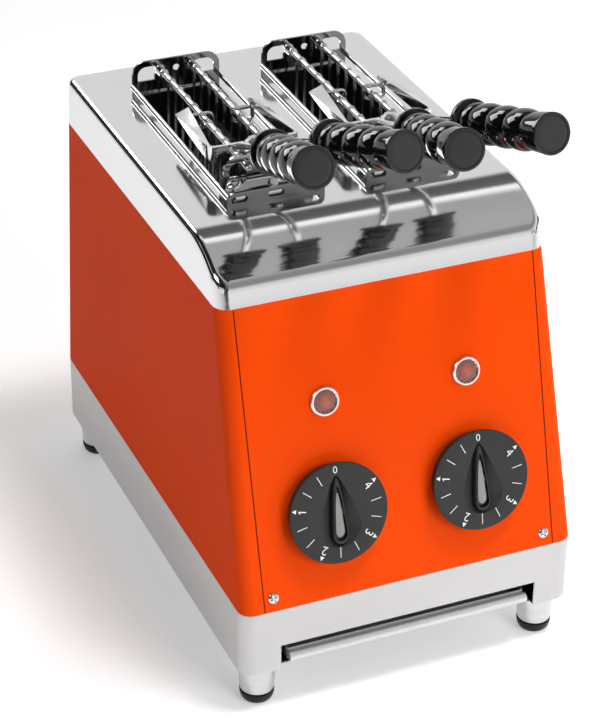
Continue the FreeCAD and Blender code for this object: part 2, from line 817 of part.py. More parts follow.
def windows(width):
    # The window in each ear, with the slot beside it that the rack's rod slides along
    outer = f"({width}/2-archStrip)"
    inner = f"({outer}-windowWidth)"
    corner = "(bracketCorner-archStrip)"
    low = "(windowTop-windowRise)"
    inside = "(rodOffset-rodRadius-fitGap)"
    under = "(rodHeight-rodRadius-fitGap)"
    over = "(rodHeight+rodRadius+fitGap)"
    loops = []
    for side in (-1, 1):
        across = [(inner, low), (outer, low), (outer, f"windowTop-{corner}", corner, side),
                  (f"{outer}-{corner}", "windowTop"), (inner, "windowTop"), (inner, over), (inside, over),
                  (inside, under), (inner, under)]
        loops.append([(f"{side}*({point[0]})", *point[1:]) for point in across])
    return loops


def makeFrame(slot, stem):
    rear = body(stem + "_rear_bracket")
    near = "rearBracket"
    far = "rearBracket+bracketSheet"
    pad(rear, "XZ_Plane", near, far, bracketLoop("bracketWidth", "bracketHeight"))
    pocket(rear, "XZ_Plane", f"{near}-1", f"{far}+1", *windows("bracketWidth"))
    pocket(rear, "XZ_Plane", f"{near}-1", f"{far}+1", ("circle", "0", "rodHeight", "pivotRadius"))
    keep(atSlot(rear, slot), stem + "_rear_bracket")

    # The front bracket: an arched plate, a floor and an upright lip
    front = body(stem + "_front_bracket")
    near = "0-frontBracket"
    far = "0-frontBracket+bracketSheet"
    pad(front, "XZ_Plane", near, far, bracketLoop("archWidth", "bracketHeight"))
    half = "(archWidth/2)"
    shoulder = "(0-frontBracket-flangeReach/3)"
    pad(front, "XY_Plane", "0", "bracketSheet",
        [(f"0-{half}", f"{near}+0.5"), ("0-lipHalf", shoulder), ("0-lipHalf", "lipFront"),
         ("lipHalf", "lipFront"), ("lipHalf", shoulder), (half, f"{near}+0.5")])
    bend = "(lipRise/2)"
    pad(front, "XZ_Plane", "lipFront", "lipFront+bracketSheet",
        [("0-lipHalf", "0"), ("lipHalf", "0"), ("lipHalf", f"lipRise-{bend}", bend, 1),
         (f"lipHalf-{bend}", "lipRise"), (f"0-lipHalf+{bend}", "lipRise", bend, 1),
         ("0-lipHalf", f"lipRise-{bend}")])
    tab = "(tabSheet+fitGap)"
    pad(front, "XY_Plane", f"stripBottom-{tab}", "stripBottom-fitGap",
        square("0-earRadius", "earRadius", f"{far}-0.5", "pivotY+earRadius"))
    pocket(front, "XZ_Plane", f"{near}-1", f"{far}+0.5", *windows("archWidth"))
    pocket(front, "XY_Plane", f"stripBottom-{tab}-1", "stripBottom",
           ("circle", "0", "pivotY", "pivotRadius"))
    slots = []
    for step in (-1, 0, 1):
        middle = f"({step}*lipHalf*0.75)"
        slots.append(rounded(f"{middle}-lipHalf/6", f"{middle}+lipHalf/6", "bracketSheet+0.5",
                             "lipRise-bracketSheet-1", "1.5"))
    pocket(front, "XZ_Plane", "lipFront-1", "lipFront+bracketSheet+0.5", *slots)
    keep(atSlot(front, slot), stem + "_front_bracket")

    x = tongX(slot)
    rails = []
    for side in (-1, 1):
        rails.append(rod("rail", "railRadius", "rearBracket-lipFront-bracketSheet",
                         f"{x}+{side}*railOffset",
                         "lipFront+bracketSheet", "capTop+railHeight", alongY))
    keep(group(stem + "_side_rods", rails), stem + "_side_rods")

    # The saddle: a rolled cover with a cheek at each end
    saddle = body(stem + "_saddle")
    low = "bracketSheet"
    knee = f"({low}+saddleFoot)"
    outer = "saddleRadius"
    inner = "(saddleRadius-sheetWall)"
    over = [(f"saddleY+{outer}", low), (f"saddleY+{outer}", knee, outer, 1),
            ("saddleY", f"{knee}+{outer}", outer, 1), (f"saddleY-{outer}", knee), (f"saddleY-{outer}", low)]
    under = [(f"saddleY-{inner}", low), (f"saddleY-{inner}", knee, inner, -1),
             ("saddleY", f"{knee}+{inner}", inner, -1), (f"saddleY+{inner}", knee),
             (f"saddleY+{inner}", low)]
    pad(saddle, "YZ_Plane", "0-saddleHalf", "saddleHalf", over + under)
    pad(saddle, "YZ_Plane", "0-saddleHalf", "0-saddleHalf+sheetWall", over)
    pad(saddle, "YZ_Plane", "saddleHalf-sheetWall", "saddleHalf", over)
    keep(atSlot(saddle, slot), stem + "_saddle")

    pin = rod("pin", "pivotRadius", "stripTop+2-stripBottom+tabSheet+fitGap", x, "pivotY",
              "capTop+stripBottom-tabSheet-fitGap")
    head = rod("pin_head", "pivotRadius+1.6", "1.6", x, "pivotY", "capTop+stripBottom+2*earSheet+3*fitGap")
    things = [fuse("pivot_pin", [pin, head])]
    middle = "(capTop+bracketSheet+saddleFoot)"
    for side in (-1, 1):
        things.append(cone("cheek_screw", "screwRadius", "screwRadius*0.7", "screwHead",
                           f"{x}+{side}*saddleHalf", "saddleY", f"{middle}+saddleRadius/2",
                           f"rotation(vector(0;1;0); {side}*90 deg)"))
    reach = "((saddleRadius+0.02)*sqrt(0.5))"
    things.append(cone("saddle_screw", "screwRadius", "screwRadius*0.7", "screwHead", x, f"saddleY-{reach}",
                       f"{middle}+{reach}", "rotation(vector(1;0;0); 45 deg)"))
    keep(group(stem + "_fasteners", things), stem + "_fasteners")


def makeLever(slot, side, stem, letter):
    name = f"{stem}_lever_{letter}"
    lever = body(name + "_bar")
    out = f"({side}*plateOut)"
    skin = "leverSheet"
    inner = f"({side}*(plateOut-{skin}))"
    bend = f"({side}*(plateOut-2*{skin}))"
    start = f"({side}*(earRadius+0.8))"
    front = f"(pivotY-{skin}/2)"
    back = f"(pivotY+{skin}/2)"
    turn = side
    # The cross strip and its bend, standing on edge
    pad(lever, "XY_Plane", "plateBottom", "stripTop",
        [(start, front), (bend, front, f"2*{skin}", turn), (out, f"{front}+2*{skin}"),
         (out, f"{back}+4"), (inner, f"{back}+4"), (inner, f"{back}+{skin}", skin, -turn), (bend, back),
         (start, back)])
    pocket(lever, "XZ_Plane", f"{front}-1", f"{back}+1",
           [(f"{side}*2", "plateBottom-1"), (f"{side}*(plateOut-heelGap)", "plateBottom-1"),
            (f"{side}*(plateOut-heelGap-2)", "stripBottom"), (f"{side}*2", "stripBottom")])
    # The jaw plate twists from upright at the bend to nearly flat at its tip
    upright = [(out, "plateBottom"), (inner, "plateBottom"), (inner, "stripTop"), (out, "stripTop")]
    flat = [(f"{side}*tipOut", "plateTip-tipDrop"),
            (f"{side}*(tipOut-tipSkew)", "plateTip-tipDrop-tipSheet"),
            (f"{side}*tipIn", "plateTip+tipRise"), (f"{side}*(tipIn+tipSkew)", "plateTip+tipRise+tipSheet")]
    loft(lever, "AdditiveLoft", "XZ_Plane", (f"0-({back}+3.5)", upright), ("0-plateEnd", flat))
    # The flat ear round the pivot pin
    low = "stripBottom" if letter == "a" else "stripBottom+earSheet+fitGap"
    neck = square("0", f"{side}*(earRadius+2)", "pivotY-earRadius*0.7", "pivotY+earRadius*0.7")
    pad(lever, "XY_Plane", low, f"{low}+earSheet", neck)
    pad(lever, "XY_Plane", low, f"{low}+earSheet", ("circle", "0", "pivotY", "earRadius"))
    pocket(lever, "XY_Plane", f"{low}-1", f"{low}+earSheet+1",
           ("circle", "0", "pivotY", "pivotRadius+pivotFit"))
    # The ring that takes the rack's rod along
    ends = [f"({side}*hoopIn)", f"({side}*hoopOut)"][::side]
    wire = "(2*hoopWire)"
    pad(lever, "XZ_Plane", "hoopBehind-hoopWire", "hoopBehind+hoopWire",
        rounded(*ends, "hoopLow", "hoopHigh", "(hoopWire+2)"),
        rounded(f"{ends[0]}+{wire}", f"{ends[1]}-{wire}", f"hoopLow+{wire}", f"hoopHigh-{wire}",
                "(2-hoopWire)"))
    atSlot(lever, slot)
    # The shank that rises from the strip to the grip, and the tang inside the grip
    x, y, z, turned = gripPlace(slot, side, "0")
    start = (f"({tongX(slot)}+{side}*shankSide)", "pivotY", "(capTop+(stripTop+stripBottom)/2)")
    across = f"({x}-{start[0]})"
    ahead = f"({start[1]}-({y}))"
    up = f"({z}-{start[2]})"
    flat = f"sqrt({across}^2+{ahead}^2)"
    turned = f"rotation(atan({across}/{ahead}) - 90 deg; 0 deg - atan({up}/{flat}); 0 deg) * {alongX}"
    shank = rod(name + "_shank", "shankRadius", f"sqrt({across}^2+{ahead}^2+{up}^2)+2", *start, turned)
    tang = rod(name + "_tang", "tangRadius", "tangReach", *gripPlace(slot, side, "0-2"))
    keep(fuse(name, [lever, shank, tang]), name)


def gripPlace(slot, side, along):
    # A spot along the grip's axis from its collar, with local Z turned along the grip.
    # The left tong lies a little higher at its grips than the right one.
    tilt = f"(gripTilt-({slot})*unevenTilt)"
    reach = f"({along})*cos({tilt})"
    x = f"({tongX(slot)}+{side}*gripOffset+{side}*{reach}*sin(gripSplay))"
    y = f"(0-gripForward-{reach}*cos(gripSplay))"
    z = f"(capTop+gripRise-({slot})*unevenRise+({along})*sin({tilt}))"
    turn = f"rotation(1 deg * ({side}*gripSplay - 90); 0 deg - 1 deg * {tilt}; 0 deg) * {alongX}"
    return x, y, z, turn


def makeGrip(slot, side, stem, letter):
    grip = body(f"{stem}_grip_{letter}")
    bore = "(tangRadius+shaftFit)"
    stop = "(tangReach-2+1)"
    bulge = "(((bulgePitch/2)^2+(bulgeRadius-valleyRadius)^2)/(2*(bulgeRadius-valleyRadius)))"
    ring = "(collarRadius-0.8)"
    outline = [("0", stop), (bore, stop), (bore, "0"), ("collarRadius-1.5", "0"), ("collarRadius", "1.5"),
               ("collarRadius", "collarLength"), ("collarRadius-2", "collarLength+0.5"),
               ("collarRadius-2", "collarLength+1.5"), (ring, "collarLength+2.5"), (ring, "neckEnd-4"),
               ("valleyRadius", "neckEnd")]
    for number in (1, 2, 3):
        outline[-1] = outline[-1] + (bulge, 1)
        outline.append(("valleyRadius", f"neckEnd+{number}*bulgePitch"))
    outline += [("endRadius", "gripLength-4"), ("endRadius", "gripLength-0.8"),
                ("endRadius-0.8", "gripLength"), ("endRadius-endInset", "gripLength"),
                ("endRadius-endInset", "gripLength-endSheet"), ("0", "gripLength-endSheet")]
    revolve(grip, "XZ_Plane", "V_Axis", outline)
    place(grip, *gripPlace(slot, side, "0"))
    keep(grip, f"{stem}_grip_{letter}")
    disc = rod(f"{stem}_cap_{letter}", "endRadius-endInset-shaftFit", "endSheet-0.3",
               *gripPlace(slot, side, "gripLength-endSheet"))
    keep(disc, f"{stem}_cap_{letter}")


def makeRack(slot, side, stem, letter):
    x = tongX(slot)
    things = [rod("rack_rod", "rodRadius", "rearBracket+frontBracket+2*rodOverrun", f"{x}+{side}*rodOffset",
                  "0-frontBracket-rodOverrun", "capTop+rodHeight", alongY)]
    count = int(size("wireCount"))
    for number in range(count):
        y = f"(slotMiddle+({number}-(wireCount-1)/2)*wirePitch)"
        things.append(rod("wire", "wireRadius", "rodHeight+rackDrop", f"{x}+{side}*wireX", y,
                          "capTop-rackDrop"))
        things.append(rod("wrap", "wrapRadius", "1.7*wireRadius", f"{x}+{side}*rodOffset",
                          f"{y}-0.85*wireRadius", "capTop+rodHeight", alongY))
    span = "((wireCount-1)*wirePitch+2*railRadius)"
    things.append(rod("foot_rod", "railRadius", span, f"{x}+{side}*wireX", f"slotMiddle-{span}/2",
                      "capTop-rackDrop", alongY))
    inner = f"({x}+{side}*(wireX-ledgeReach))"
    outer = f"({x}+{side}*wireX)"
    ends = (inner, outer) if side > 0 else (outer, inner)
    things.append(box("ledge", *ends, f"slotMiddle-{span}/2", f"slotMiddle+{span}/2",
                      "capTop-rackDrop-ledgeSheet/2", "capTop-rackDrop+ledgeSheet/2"))
    keep(fuse(f"{stem}_rack_{letter}", things), f"{stem}_rack_{letter}")


makeBase()
makeFeet()
makeTray()
makeCasing()
makeScrews()
makeCap()
makeChamber()
makeControls()
makeGland()
for slot, stem in ((-1, "tong_left"), (1, "tong_right")):
    makeFrame(slot, stem)
    for side, letter in ((-1, "a"), (1, "b")):
        makeLever(slot, side, stem, letter)
        makeGrip(slot, side, stem, letter)
        makeRack(slot, side, stem, letter)

doc.recompute()

problems = []
for thing in doc.Objects:
    if "Invalid" in thing.State or "Error" in thing.State:
        problems.append(f"{thing.Name}: {thing.State}")
for feature in pockets:
    if "Invalid" in feature.State or feature.Shape.isNull():
        continue
    if feature.BaseFeature.Shape.isNull() or feature.Shape.Volume > feature.BaseFeature.Shape.Volume - 0.05:
        problems.append(f"{feature.Name} cuts nothing")
for thing in kept:
    if thing.Shape.isNull() or not thing.Shape.isValid() or not thing.Shape.Solids:
        problems.append(f"{thing.Label} has no valid solid")
if problems:
    raise RuntimeError("\n".join(problems))

os.makedirs("parts", exist_ok=True)
for thing in kept:
    thing.Shape.exportStep(f"parts/{thing.Label}.step")
print(len(kept), "sub-parts written")
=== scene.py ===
import json
import math
import bmesh
import bpy
from mathutils import Matrix, Vector

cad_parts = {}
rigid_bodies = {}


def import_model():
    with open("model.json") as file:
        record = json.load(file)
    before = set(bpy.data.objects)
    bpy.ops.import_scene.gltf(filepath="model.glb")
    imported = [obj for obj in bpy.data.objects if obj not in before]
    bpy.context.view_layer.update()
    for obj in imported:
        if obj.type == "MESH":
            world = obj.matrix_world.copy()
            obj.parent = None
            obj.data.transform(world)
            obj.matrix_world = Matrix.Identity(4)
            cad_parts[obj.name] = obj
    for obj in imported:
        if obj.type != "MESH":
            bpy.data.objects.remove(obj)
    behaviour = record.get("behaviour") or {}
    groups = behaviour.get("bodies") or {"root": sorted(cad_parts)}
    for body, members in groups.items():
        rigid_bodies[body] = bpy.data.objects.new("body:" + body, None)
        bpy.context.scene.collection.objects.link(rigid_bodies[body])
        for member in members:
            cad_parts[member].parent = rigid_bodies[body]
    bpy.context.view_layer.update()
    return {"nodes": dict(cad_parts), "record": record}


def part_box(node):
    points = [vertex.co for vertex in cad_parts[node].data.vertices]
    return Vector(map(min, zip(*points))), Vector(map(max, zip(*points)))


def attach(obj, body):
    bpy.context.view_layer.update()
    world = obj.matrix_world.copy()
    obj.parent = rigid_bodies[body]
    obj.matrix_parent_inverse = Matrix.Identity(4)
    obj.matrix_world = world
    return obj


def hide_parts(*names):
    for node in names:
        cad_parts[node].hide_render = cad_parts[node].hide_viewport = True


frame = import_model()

nodes = frame["nodes"]
mm = 0.001
slotOf = {part["node"]: part["material_slot"] for part in frame["record"]["subparts"]}
bodyOf = {node: body for body, group in frame["record"]["behaviour"]["bodies"].items() for node in group}
halves = ((-1, "left"), (1, "right"))
levers = ((-1, "a"), (1, "b"))
print("frame loaded")


# node trees
def newMaterial(name):
    material = bpy.data.materials.new(name)
    material.use_nodes = True
    tree = material.node_tree
    tree.nodes.clear()
    out = tree.nodes.new("ShaderNodeOutputMaterial")
    shader = tree.nodes.new("ShaderNodeBsdfPrincipled")
    tree.links.new(shader.outputs["BSDF"], out.inputs["Surface"])
    return material, tree, shader


def addNode(tree, kind, settings=None, **links):
    node = tree.nodes.new("ShaderNode" + kind)
    for key, value in (settings or {}).items():
        if key in node.inputs:
            node.inputs[key].default_value = value
        else:
            setattr(node, key, value)
    for key, source in links.items():
        tree.links.new(source, node.inputs[key.replace("_", " ")])
    return node


def objectPoint(tree, stretch):
    coords = tree.nodes.new("ShaderNodeTexCoord")
    mapping = tree.nodes.new("ShaderNodeMapping")
    mapping.inputs["Scale"].default_value = stretch
    tree.links.new(coords.outputs["Object"], mapping.inputs["Vector"])
    return mapping.outputs["Vector"]


def noise(tree, point, scale, detail):
    made = addNode(tree, "TexNoise", {"Scale": scale, "Detail": detail, "Roughness": 0.55}, Vector=point)
    return made.outputs["Fac"]


def ramp(tree, source, stops):
    made = addNode(tree, "ValToRGB", Fac=source)
    strip = made.color_ramp.elements
    while len(strip) < len(stops):
        strip.new(0.5)
    for element, (place, color) in zip(strip, stops):
        element.position = place
        element.color = (*color, 1)
    return made.outputs["Color"]


def span(tree, source, low, high, start=0.0, stop=1.0):
    # start to stop becomes low to high
    made = addNode(tree, "MapRange", {"From Min": start, "From Max": stop, "To Min": low, "To Max": high},
                   Value=source)
    return made.outputs["Result"]


def bump(tree, source, strength, distance, under=None):
    made = addNode(tree, "Bump", {"Strength": strength, "Distance": distance}, Height=source)
    if under:
        tree.links.new(under, made.inputs["Normal"])
    return made.outputs["Normal"]


def mix(tree, amount, first, second, blend="MIX"):
    # each may be another node's output or a plain value
    made = addNode(tree, "Mix", {"data_type": "RGBA", "blend_type": blend})
    for number, source in ((0, amount), (6, first), (7, second)):
        if isinstance(source, bpy.types.NodeSocket):
            tree.links.new(source, made.inputs[number])
        else:
            made.inputs[number].default_value = source
    return made.outputs[2]


def tint(color, amount):
    return tuple(min(1, part * amount) for part in color)


# what a finish has when it doesn't say otherwise
plainLook = {"stretch": (1, 1, 1), "cloud": 0.06, "cloudScale": 12, "roughSpread": 0.25, "glossScale": 60,
             "grain": 0.1, "grainScale": 900, "grainDepth": 0.0002, "metal": 0}
socketOf = {"metal": "Metallic", "coat": "Coat Weight", "coatRough": "Coat Roughness",
            "specular": "Specular IOR Level", "clear": "Transmission Weight"}


def surface(name, look):
    # one finish: cloudy colour, uneven gloss and a fine relief, each at its own scale
    look = {**plainLook, **look}
    material, tree, shader = newMaterial(name)
    point = objectPoint(tree, look["stretch"])
    shade = look["cloud"]
    cloud = noise(tree, point, look["cloudScale"], 4)
    base = ramp(tree, cloud, [(0.3, tint(look["color"], 1 - shade)), (0.7, tint(look["color"], 1 + shade))])
    if "edge" in look:
        # lighter along the sharpest outer edges, where the mesh's pointiness is high
        worn = addNode(tree, "NewGeometry").outputs["Pointiness"]
        base = mix(tree, span(tree, worn, 0, look["edge"], 0.5, 0.56), base, (*look["edgeColor"], 1))
    tree.links.new(base, shader.inputs["Base Color"])
    gloss = noise(tree, point, look["glossScale"], 5)
    low, high = (look["rough"] * (1 + sign * look["roughSpread"]) for sign in (-1, 1))
    tree.links.new(span(tree, gloss, low, high), shader.inputs["Roughness"])
    relief = noise(tree, point, look["grainScale"], 3)
    normal = bump(tree, relief, look["grain"], look["grainDepth"])
    if "wave" in look:
        broad = noise(tree, point, look["waveScale"], 1)
        normal = bump(tree, broad, look["wave"], look["waveDepth"], normal)
    tree.links.new(normal, shader.inputs["Normal"])
    for key, socket in socketOf.items():
        if key in look:
            shader.inputs[socket].default_value = look[key]
    return material


# finishes: colours are linear, scales are noise cells per metre, depths are metres
finishes = {
    "baseSteel": {"color": (0.6, 0.6, 0.597), "rough": 0.42, "metal": 0.55, "cloud": 0.03, "cloudScale": 6,
                  "glossScale": 40, "grainScale": 1500, "grain": 0.12},
    "footMetal": {"color": (0.62, 0.62, 0.63), "rough": 0.3, "metal": 1, "stretch": (1, 1, 18), "cloud": 0.05,
                  "grainScale": 120, "grain": 0.15},
    "padRubber": {"color": (0.006, 0.006, 0.007), "rough": 0.42, "specular": 0.25, "grainScale": 1600,
                  "grain": 0.15},
    "casingPaint": {"color": (0.89, 0.066, 0.001), "rough": 0.34, "specular": 0.0, "coat": 0.1,
                    "coatRough": 0.12, "cloud": 0.035, "cloudScale": 7, "grainScale": 420, "grain": 0.06,
                    "wave": 0.05, "waveScale": 9, "waveDepth": 0.002},
    # painted shade for the gaps between the panels
    "seamDark": {"color": (0.035, 0.003, 0.001), "rough": 0.6, "specular": 0.1, "cloud": 0.2,
                 "cloudScale": 60, "grain": 0.2},
    "trayFront": {"color": (0.7, 0.7, 0.695), "rough": 0.4, "metal": 0.5, "cloud": 0.03, "cloudScale": 9,
                  "grainScale": 1200},
    "polishedSteel": {"color": (0.81, 0.81, 0.815), "rough": 0.1, "metal": 1, "cloud": 0.02, "glossScale": 25,
                      "roughSpread": 0.35, "grainScale": 700, "grain": 0.01, "wave": 0.04, "waveScale": 9,
                      "waveDepth": 0.002},
    "brightWire": {"color": (0.8, 0.8, 0.81), "rough": 0.14, "metal": 1, "cloud": 0.08, "cloudScale": 80},
    "innerSteel": {"color": (0.09, 0.088, 0.085), "rough": 0.5, "metal": 1, "cloud": 0.25, "cloudScale": 14,
                   "stretch": (1, 12, 1), "grainScale": 160, "grain": 0.15},
    "quartz": {"color": (0.8, 0.79, 0.76), "rough": 0.12, "clear": 0.6, "grain": 0.05},
    "ceramic": {"color": (0.75, 0.7, 0.6), "rough": 0.7, "cloud": 0.1, "grain": 0.3},
    # the polished steel made darker for the tong brackets: painted shade for the dark reflections they show
    "bracketSteel": {"color": (0.5, 0.5, 0.505), "rough": 0.08, "metal": 1, "cloudScale": 40,
                     "roughSpread": 0.4, "grainScale": 500, "grain": 0.02, "wave": 0.1, "waveScale": 60,
                     "waveDepth": 0.0008},
    "knobGrey": {"color": (0.03, 0.031, 0.03), "rough": 0.5, "specular": 0.3, "grainScale": 2200,
                 "grain": 0.12, "edge": 0.25, "edgeColor": (0.09, 0.09, 0.09)},
    # the pocket's lining: partly the dark frame's own black, partly painted shade in the recess
    "wingBlack": {"color": (0.007, 0.007, 0.007), "rough": 0.32, "grainScale": 2200, "grain": 0.08},
    "inlayGrey": {"color": (0.27, 0.28, 0.26), "rough": 0.4, "cloud": 0.08, "grainScale": 1800,
                  "grain": 0.15},
    "dialWhite": {"color": (0.85, 0.85, 0.84), "rough": 0.5, "cloud": 0.05, "grainScale": 2500},
    "shaftSteel": {"color": (0.5, 0.5, 0.5), "rough": 0.25, "metal": 1},
    "timerCase": {"color": (0.05, 0.05, 0.055), "rough": 0.5, "grain": 0.2},
    "lampRim": {"color": (0.95, 0.86, 0.82), "rough": 0.28, "metal": 1, "grain": 0.05},
    "lampAmber": {"color": (0.36, 0.06, 0.03), "rough": 0.15, "coat": 0.6, "coatRough": 0.05, "grain": 0.05},
    "glandBlack": {"color": (0.015, 0.015, 0.016), "rough": 0.5, "grain": 0.2},
    "gripBlack": {"color": (0.004, 0.004, 0.0045), "rough": 0.085, "specular": 0.5, "cloud": 0.1,
                  "grainScale": 500, "grain": 0.02, "glossScale": 90, "edge": 0.35,
                  "edgeColor": (0.03, 0.03, 0.03)},
    "capBlack": {"color": (0.03, 0.03, 0.031), "rough": 0.6, "specular": 0.3, "cloud": 0.08, "cloudScale": 40,
                 "grainScale": 2600, "grain": 0.25},
    "screwSteel": {"color": (0.75, 0.75, 0.76), "rough": 0.2, "metal": 1},
}


def finishName(slot):
    # casing_paint becomes casingPaint
    first, *rest = slot.split("_")
    return first + "".join(word.capitalize() for word in rest)


materials = {name: surface(name, look) for name, look in finishes.items()}
finishOf = {name: finishName(slot) for name, slot in slotOf.items()}
finishOf["crumb_tray"] = "trayFront"
# the tong brackets take the darker steel, painted shade for their dark reflections
for side, word in halves:
    for ending in ("front_bracket", "saddle", "rear_bracket"):
        finishOf[f"tong_{word}_{ending}"] = "bracketSteel"
for name, thing in nodes.items():
    for slot in thing.material_slots:
        slot.material = materials[finishOf[name]]
print("finishes on", len(nodes), "nodes")


# making pieces
def settle(piece, node, hides=(), place=None):
    # rides with its node's body, and hides the nodes it stands in for
    bpy.context.scene.collection.objects.link(piece)
    if place:
        piece.matrix_world = place
    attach(piece, bodyOf[node])
    if hides:
        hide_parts(*hides)
    return piece


def newPiece(name, mesh, finish, node, hides=(), place=None):
    mesh.materials.clear()
    mesh.materials.append(materials[finish])
    return settle(bpy.data.objects.new(name, mesh), node, hides, place)


def wires(name, lines, radius, node, hides=(), around=6):
    # bent wires as one curve piece, points in mm
    curve = bpy.data.curves.new(name, "CURVE")
    curve.dimensions = "3D"
    curve.bevel_depth = radius * mm
    curve.bevel_resolution = around // 2 - 1
    curve.use_fill_caps = True
    for line in lines:
        spline = curve.splines.new("POLY")
        spline.points.add(len(line) - 1)
        for point, spot in zip(spline.points, line):
            point.co = (*(part * mm for part in spot), 1)
        spline.use_smooth = True
    curve.materials.append(materials["brightWire"])
    return settle(bpy.data.objects.new(name, curve), node, hides)


def smooth(mesh, angle=35):
    mesh.polygons.foreach_set("use_smooth", [True] * len(mesh.polygons))
    mesh.set_sharp_from_angle(angle=math.radians(angle))


def fromRings(name, rings, capStart=True, capEnd=True):
    # skins a list of closed rings that have the same number of points
    count = len(rings[0])
    verts = [tuple(point) for ring in rings for point in ring]
    faces = []
    for level in range(len(rings) - 1):
        low = level * count
        for step in range(count):
            after = (step + 1) % count
            faces.append((low + step, low + after, low + count + after, low + count + step))
    if capStart:
        faces.append(tuple(range(count))[::-1])
    if capEnd:
        faces.append(tuple(range(len(verts) - count, len(verts))))
    mesh = bpy.data.meshes.new(name)
    mesh.from_pydata(verts, [], faces)
    mesh.update()
    return mesh


def stacked(name, place, levels, capStart=True, capEnd=True):
    # skins flat outlines, each with its height, in mm in the place's own axes
    rings = [[place @ (Vector((x, y, height)) * mm) for x, y in outline] for outline, height in levels]
    return fromRings(name, rings, capStart, capEnd)


def circle(radius, steps):
    angles = (2 * math.pi * step / steps for step in range(steps))
    return [(radius * math.cos(angle), radius * math.sin(angle)) for angle in angles]


def lathe(name, profile, place, steps):
    # profile: radius and height in mm, turned round the place's own Z
    mesh = stacked(name, place, [(circle(max(radius, 0.01), steps), height) for radius, height in profile])
    smooth(mesh)
    return mesh


def roundOver(radius, height, size, steps=4):
    # a quarter circle that starts at the radius and height and ends that size higher and further in
    points = []
    for step in range(steps + 1):
        angle = math.radians(90 * step / steps)
        points.append((radius - size + size * math.cos(angle), height + size * math.sin(angle)))
    return points


def joined(name, meshes):
    whole = bmesh.new()
    for mesh in meshes:
        whole.from_mesh(mesh)
    made = bpy.data.meshes.new(name)
    whole.to_mesh(made)
    whole.free()
    return made


# sheet metal with softened edges, from the nodes' own shapes
sheetForm = {
    # node ending: edge radius in mm, steps
    "edges": {"base_frame": (1.3, 3), "rear_bracket": (0.25, 2), "front_bracket": (0.25, 2),
              "saddle": (0.35, 2), "crumb_tray": (0.2, 2)},
    "leastTurn": 35, "rimRadius": 4, "rimSteps": 5, "rimTurn": 20,
    # how far in from the cap's sides, ends and bottom its rim is looked for, in mm
    "rimSide": 9, "rimEnd": 14, "rimLow": 3,
}


def freshCopy(node):
    shape = bmesh.new()
    shape.from_mesh(nodes[node].data)
    bmesh.ops.remove_doubles(shape, verts=shape.verts, dist=0.002 * mm)
    bmesh.ops.dissolve_limit(shape, angle_limit=math.radians(0.5), verts=shape.verts, edges=shape.edges)
    return shape


def soften(shape, radius, steps, leastTurn, chosen=None):
    # rounds the sharp outer edges; edges picked out by chosen get the whole radius, whatever lies beside them
    edges = [edge for edge in shape.edges if len(edge.link_faces) == 2 and edge.is_convex
             and math.degrees(edge.calc_face_angle(0)) > leastTurn and (chosen is None or chosen(edge))]
    bmesh.ops.bevel(shape, geom=edges, offset=radius * mm, offset_type="OFFSET", segments=steps, profile=0.5,
                    affect="EDGES", clamp_overlap=chosen is None)


def keepShape(shape, node):
    mesh = bpy.data.meshes.new(f"{node}_skin")
    shape.to_mesh(mesh)
    shape.free()
    smooth(mesh, 40)
    piece = newPiece(f"{node}_skin", mesh, finishOf[node], node, (node,))
    piece.modifiers.new("evenNormals", "WEIGHTED_NORMAL").keep_sharp = True


def makeCap(form):
    low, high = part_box("top_cap")
    side = high.x - form["rimSide"] * mm
    front = low[1] + form["rimEnd"] * mm
    rear = high[1] - form["rimEnd"] * mm
    bottom = low[2] + form["rimLow"] * mm

    def onRim(edge):
        # a level edge on the outside, not one round a slot or under the cap
        middle = (edge.verts[0].co + edge.verts[1].co) / 2
        outside = abs(middle.x) > side or middle.y < front or middle.y > rear
        level = abs(edge.verts[0].co.z - edge.verts[1].co.z) < 0.9 * edge.calc_length()
        outward = Vector((middle.x * 0.3, middle.y * 0.3, 0.05))
        outer = all(face.normal.dot(outward) > -0.002 for face in edge.link_faces)
        return outside and level and outer and middle.z > bottom

    shape = freshCopy("top_cap")
    soften(shape, form["rimRadius"], form["rimSteps"], form["rimTurn"], onRim)
    keepShape(shape, "top_cap")


def makeSheets(form):
    for node in nodes:
        for ending, (radius, steps) in form["edges"].items():
            if node.endswith(ending):
                shape = freshCopy(node)
                soften(shape, radius, steps, form["leastTurn"])
                keepShape(shape, node)


makeCap(sheetForm)
makeSheets(sheetForm)
print("sheet metal softened")


# places shared by the pieces, in mm
layout = {
    "capTop": 274.5,
    "baseTop": 70.5,
    "halfDepth": 159,
    "frontSlope": 47.9 / 174.5,
    "slotX": 43,
    "tongShift": 1,
}


def onPanel(reach, rise, out=0.0):
    # reach to the side, rise above the base and out of the panel; local Z points out, local Y up the slope
    lean = math.atan(layout["frontSlope"])
    spot = Vector((reach, -layout["halfDepth"] + rise * layout["frontSlope"] - out * math.cos(lean),
                   layout["baseTop"] + rise + out * math.sin(lean)))
    return Matrix.Translation(spot * mm) @ Matrix.Rotation(math.pi / 2 - lean, 4, "X")


